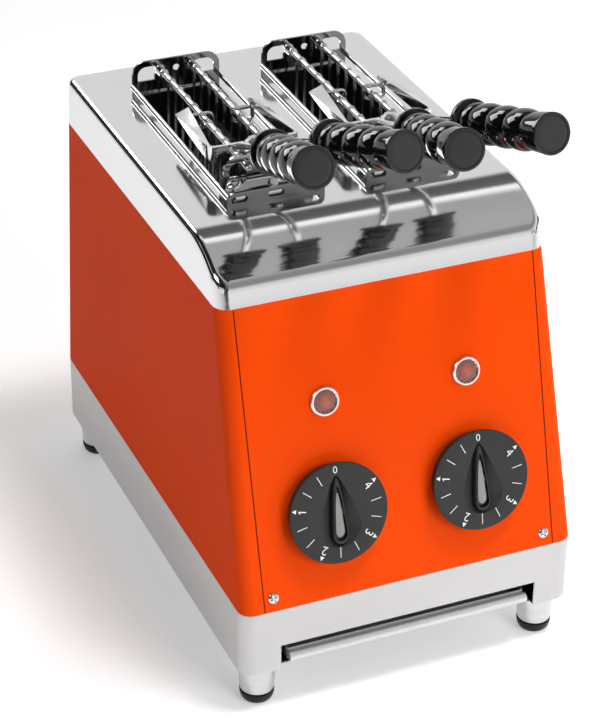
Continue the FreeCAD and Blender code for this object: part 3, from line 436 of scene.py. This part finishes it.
# knobs
knobForm = {
    "reach": 45, "rise": 51.3, "standOff": 1,
    "radius": 28.2, "backRadius": 26.7, "backRise": 0.5, "faceRadius": 30.4, "height": 7.8, "rimRound": 0.8,
    # outlines: half width, tip, tail, how sharp the tip is, and where the widest place lies
    "well": {"half": 13, "top": 22.8, "tail": -20.5, "power": 0.72, "belly": 0.7},
    "wing": {"half": 4.6, "top": 21.5, "tail": -18.5, "power": 0.5, "belly": 0.86},
    "crest": {"half": 4.25, "top": 20.3, "tail": -17.9, "power": 0.5, "belly": 0.86},
    "pocket": {"half": 3.9, "top": 16.5, "tail": -16.8, "power": 0.5, "belly": 0.88},
    "inlay": {"half": 2.75, "top": 12.3, "tail": -14.7, "power": 0.5, "belly": 0.86},
    "wellDepth": 4.2, "wellLip": 0.15, "wingProud": 0.5, "wingRound": 0.35, "wingSunk": 0.5,
    "pocketDepth": 2, "inlayHigh": 1.1, "inlayRound": 0.25,
}
dialForm = {
    "tickIn": 20.4, "tickOut": 26.8, "tickWidth": 0.42, "steps": 13, "stepAngle": 25.3, "markHeight": 0.05,
    "digitRadius": 22.9, "zeroRadius": 26.0, "digitSize": 7.6, "zeroSize": 6.0, "thinner": 0.04,
    "arrowIn": 26.8, "arrowOut": 29.4, "arrowHalf": 1.35,
    # a one with a flag at its head, round its own middle
    "one": [(0.3, -2.4), (0.3, 2.4), (-0.15, 2.4), (-1.35, 1.45), (-1.1, 1.0), (-0.3, 1.6), (-0.3, -2.4)],
}


def petal(half, top, tail, power, belly, count=28):
    # a closed outline from its tip down the right side and back up the left
    right = []
    for step in range(count + 1):
        share = (1 - math.cos(math.pi * step / count)) / 2
        if share < belly:
            wide = (share / belly) ** power
        else:
            wide = math.sqrt(max(0, 1 - ((share - belly) / (1 - belly)) ** 2))
        right.append((half * wide, top + (tail - top) * share))
    return right + [(-x, y) for x, y in right[-2:0:-1]]


def scaled(outline, across, along):
    return [(x * across, y * along) for x, y in outline]


def makeDisc(place, word, form):
    # from the back round the face, then down into the scooped well as far as the wing
    well = petal(**form["well"])
    wing = petal(**form["wing"])
    high = form["height"]

    def around(radius):
        # a circle whose points follow the well's
        angles = (math.pi / 2 - 2 * math.pi * step / len(well) for step in range(len(well)))
        return [(radius * math.cos(angle), radius * math.sin(angle)) for angle in angles]

    levels = [(around(form["backRadius"]), 0), (around(form["radius"]), form["backRise"])]
    for angle in (0, 25, 50, 75, 90):
        turn = math.radians(angle)
        levels.append((around(form["faceRadius"] - form["rimRound"] * (1 - math.cos(turn))),
                       high - form["rimRound"] * (1 - math.sin(turn))))
    levels += [(scaled(well, 1.06, 1.03), high), (scaled(well, 1.02, 1.01), high - 0.04)]
    lip = form["wellLip"]
    for share in (0, 0.06, 0.15, 0.35, 0.6, 0.85, 0.98):
        between = [(a + (c - a) * share, b + (d - b) * share) for (a, b), (c, d) in zip(well, wing)]
        levels.append((between, high - lip - (form["wellDepth"] - lip) * share ** 0.9))
    disc = stacked(f"knob_body_{word}", place, levels, capEnd=False)
    smooth(disc, 50)
    newPiece(f"knob_{word}_disc", disc, "knobGrey", f"knob_{word}", (f"knob_{word}",))


def makeWing(place, word, form):
    # the raised grip, whose pocket holds the pale inlay; the pocket is lined darker than the knob, partly a
    # dark frame round the inlay and partly painted shade in the recess
    wing = petal(**form["wing"])
    pocket = petal(**form["pocket"])
    top = form["height"] + form["wingProud"]
    root = form["height"] - form["wellDepth"] - form["wingSunk"]
    levels = [(wing, root), (wing, top - form["wingRound"]), (petal(**form["crest"]), top), (pocket, top),
              (pocket, top - 0.1)]
    walls = stacked(f"wing_{word}", place, levels, capEnd=False)
    smooth(walls, 50)
    newPiece(f"knob_{word}_wing", walls, "knobGrey", f"knob_{word}")
    sunk = top - form["pocketDepth"]
    levels = [(pocket, top - 0.02), (scaled(pocket, 0.94, 0.98), sunk)]
    lining = stacked(f"pocket_{word}", place, levels, capStart=False)
    smooth(lining, 40)
    newPiece(f"knob_{word}_pocket", lining, "wingBlack", f"knob_{word}")
    inlay = petal(**form["inlay"])
    face = sunk + form["inlayHigh"]
    levels = [(inlay, sunk - 0.1), (inlay, face - form["inlayRound"]), (scaled(inlay, 0.9, 0.97), face)]
    plate = stacked(f"inlay_{word}", place, levels)
    smooth(plate, 40)
    newPiece(f"knob_{word}_inlay", plate, "inlayGrey", f"knob_inlay_{word}", (f"knob_inlay_{word}",))


def digitMesh(digit, size, form):
    text = bpy.data.curves.new("digit", "FONT")
    text.body = str(digit)
    text.size = size * mm
    text.align_x = "CENTER"
    text.align_y = "CENTER"
    text.extrude = form["markHeight"] * mm
    text.offset = -form["thinner"] * mm
    text.resolution_u = 4
    holder = bpy.data.objects.new("digit", text)
    mesh = bpy.data.meshes.new_from_object(holder)
    bpy.data.objects.remove(holder)
    bpy.data.curves.remove(text)
    return mesh


def makeDial(place, word, face, form):
    marks = []
    half = form["tickWidth"] / 2
    tick = [(-half, form["tickIn"]), (half, form["tickIn"]),
            (half, form["tickOut"]), (-half, form["tickOut"])]
    arrow = [(-form["arrowHalf"], form["arrowIn"]), (form["arrowHalf"], form["arrowIn"]),
             (0, form["arrowOut"])]
    one = [(x, y + form["digitRadius"]) for x, y in form["one"]]

    def addMark(name, outline, turned):
        marks.append(stacked(name, turned, [(outline, face - 0.02), (outline, face + form["markHeight"])]))

    for step in range(form["steps"]):
        turned = place @ Matrix.Rotation(math.radians(form["stepAngle"] * step), 4, "Z")
        digit, rest = divmod(step, 3)
        if rest:
            addMark("tick", tick, turned)
            continue
        if digit:
            addMark("arrow", arrow, turned)
        if digit == 1:
            addMark("one", one, turned)
            continue
        size, radius = ((form["digitSize"], form["digitRadius"]) if digit
                        else (form["zeroSize"], form["zeroRadius"]))
        mesh = digitMesh(digit, size, form)
        mesh.transform(turned @ Matrix.Translation(Vector((0, radius, face)) * mm))
        marks.append(mesh)
    newPiece(f"knob_{word}_marks", joined(f"marks_{word}", marks), "dialWhite", f"knob_{word}")


for side, word in halves:
    knobPlace = onPanel(side * knobForm["reach"], knobForm["rise"], knobForm["standOff"])
    makeDisc(knobPlace, word, knobForm)
    makeWing(knobPlace, word, knobForm)
    makeDial(knobPlace, word, knobForm["height"], dialForm)
print("knobs and dials made")


# thin strips along the joints between the front panel and the side panels, coloured dark as painted shade in
# the gaps
seamForm = {"reach": 92.5, "half": 0.45, "topHalf": 0.27, "low": 0.6, "high": 173.5, "proud": 0.06,
            "sunk": 0.4}


def makeSeams(form):
    section = [(-form["half"], -form["sunk"]), (form["half"], -form["sunk"]),
               (form["topHalf"], form["proud"]), (-form["topHalf"], form["proud"])]
    strips = []
    for side in (-1, 1):
        middle = side * form["reach"]
        rings = [[onPanel(middle + across, rise, out).to_translation() for across, out in section]
                 for rise in (form["low"], form["high"])]
        strips.append(fromRings("seam", rings))
    newPiece("panel_seams", joined("panel_seams", strips), "seamDark", "front_panel")


makeSeams(seamForm)
print("panel joints made")


# indicator lamps
lampForm = {"reach": 44.3, "rise": 113.8, "radius": 8.7, "lens": 8.1, "height": 1.4, "rimRound": 0.3,
            "dome": 1.3, "domeSteps": 8, "ribs": 18, "ribDepth": 0.5}


def lampMaterial(form):
    # amber glass: a warm core, a smoky rim that turns dark at its very edge as painted shade where the glass
    # meets the bezel, and a pattern of rings
    material, tree, shader = newMaterial("lampGlass")
    coords = tree.nodes.new("ShaderNodeTexCoord").outputs["Object"]
    away = addNode(tree, "VectorMath", {"operation": "LENGTH"})
    tree.links.new(coords, away.inputs[0])
    reach = span(tree, away.outputs["Value"], 0, 1, 0, form["lens"] * mm)
    # the last stop is painted shade along the glass's outer edge, under the bezel's wall
    core = ramp(tree, reach, [(0.0, (0.6, 0.15, 0.06)), (0.36, (0.52, 0.12, 0.06)), (0.5, (0.3, 0.085, 0.06)),
                              (0.88, (0.28, 0.08, 0.07)), (1.0, (0.09, 0.03, 0.03))])
    mottle = noise(tree, coords, 420, 3)
    light = ramp(tree, mottle, [(0.3, (0.7, 0.7, 0.7)), (0.7, (1, 1, 1))])
    tree.links.new(mix(tree, 1, core, light, "MULTIPLY"), shader.inputs["Base Color"])
    waves = addNode(tree, "Math", {"operation": "SINE"})
    tree.links.new(span(tree, reach, 0, 40), waves.inputs[0])
    tree.links.new(bump(tree, waves.outputs[0], 0.35, 0.0002), shader.inputs["Normal"])
    tree.links.new(span(tree, mottle, 0.1, 0.3), shader.inputs["Roughness"])
    shader.inputs["Coat Weight"].default_value = 0.7
    shader.inputs["Coat Roughness"].default_value = 0.06
    return material


materials["lampGlass"] = lampMaterial(lampForm)


def makeLamp(side, word, form):
    place = onPanel(side * form["reach"], form["rise"])
    rim = form["radius"]
    hole = form["lens"]
    high = form["height"]
    corner = form["rimRound"]
    profile = [(rim, 0)] + roundOver(rim, high - corner, corner)
    profile += [(hole + 0.15, high), (hole, high - 0.5), (hole, high * 0.4)]
    newPiece(f"lamp_{word}_rim", lathe("bezel", profile, place, 64), "lampRim", f"lamp_bezel_{word}")
    # the domed glass, with small ribs round its rim
    steps = form["ribs"] * 6
    rings = []
    for level in range(form["domeSteps"] + 1):
        share = level / form["domeSteps"]
        radius = max((hole - 0.1) * (1 - share), 0.02)
        height = high * 0.5 + form["dome"] * (1 - (1 - share) ** 2)
        ribHigh = form["ribDepth"] * (1 - share) * share
        ring = []
        for step, (x, y) in enumerate(circle(radius, steps)):
            rib = ribHigh * math.cos(2 * math.pi * form["ribs"] * step / steps)
            ring.append(Vector((x, y, height + rib)) * mm)
        rings.append(ring)
    glass = fromRings(f"lens_{word}", rings, capStart=False)
    smooth(glass, 60)
    # its own origin is the middle of the lens, so that its colours run outwards from there
    node = f"lamp_lens_{word}"
    newPiece(f"lamp_{word}_glass", glass, "lampGlass", node, (node,), place)


for side, word in halves:
    makeLamp(side, word, lampForm)
print("lamps made")


# cross-head screws on the front panel
screwForm = {"rise": 8, "radius": 3.4, "height": 1.8, "edge": 0.35, "domeSteps": 8, "proud": 0.02,
             "crossLength": 4.6, "crossWidth": 0.95, "crossDepth": 1.3, "crossTurn": 0.35}


def quarter(steps):
    # sine and cosine along a quarter turn, without its start
    return [(math.sin(angle), math.cos(angle)) for angle in
            (math.pi / 2 * step / steps for step in range(1, steps + 1))]


def crossTool(place, form):
    bars = bmesh.new()
    middle = place @ Matrix.Translation((0, 0, form["height"] * mm))
    length, width, depth = (form["cross" + way] * mm for way in ("Length", "Width", "Depth"))
    size = Matrix.Diagonal((length, width, depth * 2, 1))
    for turn in (form["crossTurn"], form["crossTurn"] + math.pi / 2):
        bmesh.ops.create_cube(bars, size=1, matrix=middle @ Matrix.Rotation(turn, 4, "Z") @ size)
    mesh = bpy.data.meshes.new("cross")
    bars.to_mesh(mesh)
    bars.free()
    return bpy.data.objects.new("cross", mesh)


def crossHead(place, form):
    # a domed head with a cross cut into it
    edge = form["edge"]
    profile = [(0, 0), (form["radius"] - 0.3, 0), (form["radius"], edge)]
    profile += [(form["radius"] * inward + 0.01, edge + (form["height"] - edge) * upward)
                for upward, inward in quarter(form["domeSteps"])]
    head = bpy.data.objects.new("head", lathe("head", profile, place, 40))
    tool = crossTool(place, form)
    for thing in (head, tool):
        bpy.context.scene.collection.objects.link(thing)
    cutter = head.modifiers.new("cross", "BOOLEAN")
    cutter.operation = "DIFFERENCE"
    cutter.object = tool
    cutter.solver = "EXACT"
    cutter.use_self = True
    made = bpy.data.meshes.new_from_object(head.evaluated_get(bpy.context.evaluated_depsgraph_get()))
    bpy.data.objects.remove(head)
    bpy.data.objects.remove(tool)
    smooth(made, 40)
    return made


def makeScrews(form):
    edge = round(max(vert.co.x for vert in nodes["front_screws"].data.vertices) / mm)
    reach = edge - form["radius"]
    heads = [crossHead(onPanel(side * reach, form["rise"], form["proud"]), form) for side in (-1, 1)]
    mesh = joined("front_heads", heads)
    newPiece("front_screw_heads", mesh, "screwSteel", "front_screws", ("front_screws",))


makeScrews(screwForm)
print("screws made")


# feet
footForm = {"topRadius": 11.2, "lowRadius": 10.3, "postLow": 7.5, "postHigh": 27.5, "groove": 0.6,
            "padRadius": 10.4, "padFlat": 6.5, "padRise": 6.3, "domeSteps": 8}


def postProfile(form):
    low = form["postLow"]
    high = form["postHigh"]
    rim = form["lowRadius"]
    top = form["topRadius"]
    neck = top - form["groove"]
    return [(0, low + 0.2), (rim - 1, low + 0.2), (rim - 0.3, low + 0.5), (rim, low + 1.2), (top, high - 2.5),
            (neck, high - 2.1), (neck, high - 1.4), (top, high - 1), (top, high)]


def padProfile(form):
    flat = form["padFlat"]
    rim = form["padRadius"]
    dome = [(flat + (rim - flat) * outward, form["padRise"] * (1 - upward))
            for outward, upward in quarter(form["domeSteps"])]
    return [(0, 0), (flat, 0), *dome, (rim, form["postLow"] - 0.5), (rim - 0.5, form["postLow"])]


def makeFeet(form):
    low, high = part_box("foot_posts")
    half = form["topRadius"] * mm
    places = [Matrix.Translation((x, y, 0)) for x in (low[0] + half, high[0] - half)
              for y in (low[1] + half, high[1] - half)]
    posts = [lathe("post", postProfile(form), place, 64) for place in places]
    pads = [lathe("pad", padProfile(form), place, 64) for place in places]
    newPiece("foot_post_turnings", joined("posts", posts), "footMetal", "foot_posts", ("foot_posts",))
    newPiece("foot_rubber", joined("pads", pads), "padRubber", "foot_pads", ("foot_pads",))


makeFeet(footForm)
print("feet made")


# grips
gripForm = {
    "offset": 16.8, "forward": 84, "rise": 46.9, "unevenRise": 1.2, "splay": 6.6, "tilt": 18.9,
    "unevenTilt": 0.85,
    "length": 85, "bore": 3.2, "collar": 13, "collarEnd": 4.8, "collarRound": 1.1, "neck": 10.4,
    "neckLength": 1.3, "ring": 11.3, "ringEnd": 15, "ringRoundness": 0.6,
    "valley": 10.2, "bulge": 11.9, "pitch": 17.5, "bulges": 3, "roundness": 0.72,
    "endRadius": 11.75, "endRound": 0.7, "endInset": 1.6, "endSheet": 2, "capGap": 0.08,
}


def tongX(slot):
    return slot * layout["slotX"] + layout["tongShift"]


def gripPlace(slot, side, form):
    # local Z along the grip, from its collar to its end
    tilt = math.radians(form["tilt"] - slot * form["unevenTilt"])
    splay = math.radians(form["splay"])
    spot = Vector((tongX(slot) + side * form["offset"], -form["forward"],
                   layout["capTop"] + form["rise"] - slot * form["unevenRise"]))
    along = Vector((side * math.sin(splay) * math.cos(tilt), -math.cos(splay) * math.cos(tilt),
                    math.sin(tilt)))
    return Matrix.Translation(spot * mm) @ along.to_track_quat("Z", "Y").to_matrix().to_4x4()


def gripProfile(form):
    collar = form["collar"]
    neck = form["neck"]
    valley = form["valley"]
    profile = [(form["bore"], 0.2), (collar - 1.3, 0.2), (collar - 0.4, 0.6), (collar, 1.5)]
    profile += roundOver(collar, form["collarEnd"] - form["collarRound"], form["collarRound"])
    start = form["collarEnd"] + form["neckLength"]
    profile += [(neck, form["collarEnd"] + 0.6), (neck, start)]
    # a low ring, then the bulges
    for step in range(1, 9):
        share = step / 8
        swell = math.sin(math.pi * share) ** form["ringRoundness"]
        profile.append((neck + (form["ring"] - neck) * swell - 0.1 * share,
                        start + (form["ringEnd"] - start) * share))
    for number in range(form["bulges"]):
        for step in range(1, 13):
            share = step / 12
            swell = math.sin(math.pi * share) ** form["roundness"] if step < 12 else 0
            profile.append((valley + (form["bulge"] - valley) * swell,
                            form["ringEnd"] + form["pitch"] * (number + share)))
    # the end flares out to its disc
    start = form["ringEnd"] + form["pitch"] * form["bulges"]
    for share in (0.15, 0.35, 0.6, 0.85):
        profile.append((valley + (form["endRadius"] - valley) * share ** 0.6,
                        start + (form["length"] - 1 - start) * share))
    profile += roundOver(form["endRadius"], form["length"] - form["endRound"], form["endRound"])
    inner = form["endRadius"] - form["endInset"]
    return profile + [(inner, form["length"]), (inner, form["length"] - form["endSheet"])]


def capProfile(form):
    rim = form["endRadius"] - form["endInset"] - form["capGap"]
    end = form["length"]
    low = end - form["endSheet"]
    return [(0, low), (rim, low), (rim, end - 0.5), (rim - 0.4, end - 0.2), (rim * 0.7, end - 0.08), (0, end)]


def makeGrips(form):
    for slot, word in halves:
        for side, letter in levers:
            place = gripPlace(slot, side, form)
            node = f"tong_{word}_grip_{letter}"
            newPiece(f"{node}_turned", lathe(node, gripProfile(form), place, 96), "gripBlack", node, (node,))
            node = f"tong_{word}_cap_{letter}"
            newPiece(f"{node}_disc", lathe(node, capProfile(form), place, 72), "capBlack", node, (node,))


makeGrips(gripForm)
print("grips made")


# racks of bent wire on their rods
rackForm = {
    "rodRadius": 2.1, "rodOffset": 10.6, "rodHeight": 14, "rodFront": -36, "rodBack": 117, "rodRound": 0.5,
    "drop": 115, "wire": 0.55, "gap": 2.0, "pitch": 12.7, "count": 11, "middle": 40, "hug": 0.05,
    "footReach": 1.6, "footWire": 1.28, "ledge": 3.5,
    "sleeveRadius": 3.1, "sleeveLength": 7, "sleeveEnd": 111.5,
}
hoopForm = {"along": 34, "inner": 6.4, "outer": 19.8, "low": 9.7, "high": 18.6, "wire": 1.05, "corner": 3}


def hairpin(x, y, low, high, side, form):
    # up one leg, over the rod, round a small link on its far side, and back down
    bend = form["rodRadius"] + form["hug"]
    half = form["gap"] / 2
    leg = [(x - side * bend, y - half, low), (x - side * bend, y - half, high)]
    for step in range(1, 7):
        angle = math.pi * 0.75 * step / 6
        leg.append((x - side * bend * math.cos(angle), y - half, high + bend * math.sin(angle)))
    tip = leg[-1]
    link = (tip[0] + side * 0.2, y, tip[2] - 0.9)
    return leg + [link] + [(spot[0], y + half, spot[2]) for spot in leg[::-1]]


def rodProfile(form):
    length = form["rodBack"] - form["rodFront"]
    radius = form["rodRadius"]
    corner = form["rodRound"]
    return [(0, 0), (radius - corner, 0), (radius, corner), (radius, length - corner),
            (radius - corner, length), (0, length)]


def sleeveProfile(form):
    # a short tube near the rod's rear end, with a groove
    stop = form["sleeveEnd"] - form["rodFront"]
    start = stop - form["sleeveLength"]
    bore = form["rodRadius"]
    outer = form["sleeveRadius"]
    groove = outer - 0.5
    return [(bore, start), (outer - 0.4, start), (outer, start + 0.4), (outer, stop - 2.2),
            (groove, stop - 1.9), (groove, stop - 1.5), (outer, stop - 1.2), (outer, stop), (bore, stop)]


def makeRack(slot, side, node, form):
    x = tongX(slot) + side * form["rodOffset"]
    z = layout["capTop"] + form["rodHeight"]
    low = layout["capTop"] - form["drop"]
    lines = []
    for number in range(form["count"]):
        y = form["middle"] + (number - (form["count"] - 1) / 2) * form["pitch"]
        lines.append(hairpin(x, y, low, z, side, form))
    wires(f"{node}_wires", lines, form["wire"], node, (node,))
    place = Matrix.Translation(Vector((x, form["rodFront"], z)) * mm) @ Matrix.Rotation(-math.pi / 2, 4, "X")
    newPiece(f"{node}_rod", lathe(node, rodProfile(form), place, 32), "brightWire", node)
    newPiece(f"{node}_sleeve", lathe(node, sleeveProfile(form), place, 32), "brightWire", node)
    # the frame at the foot that the bread rests on
    near = x - side * (form["rodRadius"] + form["hug"])
    far = near - side * form["ledge"]
    half = (form["count"] - 1) * form["pitch"] / 2 + form["footReach"]
    front = form["middle"] - half
    rear = form["middle"] + half
    bars = [[(near, front), (near, rear)], [(far, front), (far, rear)],
            [(near, front), (far, front)], [(near, rear), (far, rear)]]
    frameLines = [[(across, along, low) for across, along in bar] for bar in bars]
    wires(f"{node}_foot", frameLines, form["footWire"], node)


def makeHoop(slot, side, node, form):
    # the lever's loop round the rack's rod
    corner = form["corner"]
    line = []
    for x, z, start in ((form["outer"] - corner, form["high"] - corner, 0),
                        (form["inner"] + corner, form["high"] - corner, 90),
                        (form["inner"] + corner, form["low"] + corner, 180),
                        (form["outer"] - corner, form["low"] + corner, 270)):
        for step in range(6):
            angle = math.radians(start + 18 * step)
            line.append((tongX(slot) + side * (x + corner * math.cos(angle)), form["along"],
                         layout["capTop"] + z + corner * math.sin(angle)))
    wires(f"{node}_hoop", [line + line[:1]], form["wire"], node, around=10)


for slot, word in halves:
    for side, letter in levers:
        makeRack(slot, side, f"tong_{word}_rack_{letter}", rackForm)
        makeHoop(slot, side, f"tong_{word}_lever_{letter}", hoopForm)
print("racks made")


# even shading on the solids that stay
def evenShading(angle):
    tree = bpy.data.node_groups.new("evenShading", "GeometryNodeTree")
    for way in ("INPUT", "OUTPUT"):
        tree.interface.new_socket("Geometry", in_out=way, socket_type="NodeSocketGeometry")
    start = tree.nodes.new("NodeGroupInput")
    stop = tree.nodes.new("NodeGroupOutput")
    merge = tree.nodes.new("GeometryNodeMergeByDistance")
    merge.inputs["Distance"].default_value = 0.002 * mm
    faces = tree.nodes.new("GeometryNodeSetShadeSmooth")
    edges = tree.nodes.new("GeometryNodeSetShadeSmooth")
    edges.domain = "EDGE"
    turn = tree.nodes.new("GeometryNodeInputMeshEdgeAngle")
    flat = tree.nodes.new("FunctionNodeCompare")
    flat.operation = "LESS_THAN"
    flat.inputs["B"].default_value = math.radians(angle)
    tree.links.new(start.outputs[0], merge.inputs["Geometry"])
    tree.links.new(merge.outputs["Geometry"], faces.inputs["Geometry"])
    tree.links.new(faces.outputs["Geometry"], edges.inputs["Geometry"])
    tree.links.new(turn.outputs["Unsigned Angle"], flat.inputs["A"])
    tree.links.new(flat.outputs["Result"], edges.inputs["Shade Smooth"])
    tree.links.new(edges.outputs["Geometry"], stop.inputs[0])
    return tree


shading = evenShading(32)
for thing in nodes.values():
    thing.modifiers.new("evenShading", "NODES").node_group = shading
print("solids shaded evenly")


# camera: solved from the object's straight edges, in metres
cameraSet = {
    "spot": (-0.51938, -1.19929, 0.91552),
    "right": (0.92158, -0.38808, 0.00929),
    "down": (-0.19248, -0.47761, -0.85723),
    "forward": (0.33712, 0.78821, -0.51486),
    "focalPixels": 2452.8,
    "imageHeight": 718,
    "sensor": 24,
}


def makeCamera(look):
    lens = bpy.data.cameras.new("camera")
    lens.sensor_fit = "VERTICAL"
    lens.sensor_height = look["sensor"]
    lens.lens = look["focalPixels"] / look["imageHeight"] * look["sensor"]
    lens.clip_start = 0.05
    lens.clip_end = 50
    camera = bpy.data.objects.new("camera", lens)
    bpy.context.scene.collection.objects.link(camera)
    turn = Matrix((Vector(look["right"]), -Vector(look["down"]), -Vector(look["forward"]))).transposed()
    camera.matrix_world = Matrix.Translation(look["spot"]) @ turn.normalized().to_4x4()
    bpy.context.scene.camera = camera


# studio: places and sizes in metres
studio = {
    "floorSize": 40,
    "floorLook": {"color": (0.93, 0.93, 0.93), "rough": 0.75, "specular": 0.2, "cloud": 0.01, "cloudScale": 2,
                  "grainScale": 60, "grain": 0.02},
    "floorGlow": 0.4,
    # brightness of the room by the sine of the height above the horizon
    "backRoom": [(0.0, 0.85), (0.46, 0.8), (0.5, 0.72), (0.53, 0.45), (0.575, 0.1), (0.755, 0.13),
                 (0.785, 1.2), (0.815, 1.1), (0.85, 0.4), (1.0, 0.45)],
    "frontRoom": [(0.0, 0.95), (0.33, 0.75), (0.45, 0.28), (0.62, 0.28), (0.75, 0.45), (1.0, 0.45)],
    "backFade": 0.12,
    # strength of the sky on the left and on the right, and where it changes
    "leftShade": 0.03,
    "skyStrength": 1.0,
    "shadeFrom": -0.2,
    "shadeTo": 0.12,
    # name: (place, aimed at, width, height, watts)
    "lights": {
        "key": ((0.46, -0.46, 2.1), (0, 0, 0.1), 0.5, 0.5, 24),
        "front": ((0.75, -2.2, 1.3), (0, 0, 0.2), 1.2, 0.9, 22),
    },
    # seen only in reflections: place, aimed at, width, height, strength, and whether only the grips show it
    "cards": [((-0.32, 2.0, 1.62), (0, -0.1, 0.3), 0.7, 0.7, 7, False),
              ((-1.3, -0.9, 1.6), (0, -0.1, 0.3), 0.6, 0.6, 5, False),
              ((-0.85, 1.95, 0.92), (0, -0.1, 0.3), 0.9, 0.9, 6, True)],
}


def makeWorld(look):
    world = bpy.data.worlds.new("studio")
    bpy.context.scene.world = world
    world.use_nodes = True
    tree = world.node_tree
    back = tree.nodes["Background"]
    coords = tree.nodes.new("ShaderNodeTexCoord").outputs["Generated"]
    split = addNode(tree, "SeparateXYZ", Vector=coords)
    behind, before = (ramp(tree, split.outputs["Z"], [(place, (tone,) * 3) for place, tone in look[room]])
                      for room in ("backRoom", "frontRoom"))
    rear = span(tree, split.outputs["Y"], 0, 1, -look["backFade"], look["backFade"])
    tree.links.new(mix(tree, rear, before, behind), back.inputs["Color"])
    tree.links.new(span(tree, split.outputs["X"], look["leftShade"], look["skyStrength"], look["shadeFrom"],
                        look["shadeTo"]), back.inputs["Strength"])


def areaLight(name, spot, aim, width, height, watts):
    lamp = bpy.data.lights.new(name, "AREA")
    lamp.shape = "RECTANGLE"
    lamp.size = width
    lamp.size_y = height
    lamp.energy = watts
    light = bpy.data.objects.new(name, lamp)
    light.location = spot
    light.rotation_euler = (Vector(aim) - Vector(spot)).to_track_quat("-Z", "Y").to_euler()
    bpy.context.scene.collection.objects.link(light)
    return light


def makeFloor(look):
    half = look["floorSize"] / 2
    mesh = bpy.data.meshes.new("floor")
    corners = [(-half, -half, 0), (half, -half, 0), (half, half, 0), (-half, half, 0)]
    mesh.from_pydata(corners, [], [(0, 1, 2, 3)])
    material = surface("paleFloor", look["floorLook"])
    shader = material.node_tree.nodes["Principled BSDF"]
    shader.inputs["Emission Color"].default_value = (1, 1, 1, 1)
    shader.inputs["Emission Strength"].default_value = look["floorGlow"]
    mesh.materials.append(material)
    floor = bpy.data.objects.new("floor", mesh)
    bpy.context.scene.collection.objects.link(floor)


def makeLights(look):
    for name, (spot, aim, width, height, watts) in look["lights"].items():
        areaLight(name, spot, aim, width, height, watts).visible_glossy = False
    grips = bpy.data.collections.new("grips")
    for thing in bpy.data.objects:
        if thing.name.endswith("_turned"):
            grips.objects.link(thing)
    for spot, aim, width, height, strength, gripsOnly in look["cards"]:
        card = areaLight("card", spot, aim, width, height, strength * width * height * math.pi)
        card.visible_diffuse = False
        if gripsOnly:
            card.light_linking.receiver_collection = grips


makeCamera(cameraSet)
makeWorld(studio)
makeFloor(studio)
makeLights(studio)
bpy.context.scene.view_settings.view_transform = "Standard"
print("camera and studio stand")
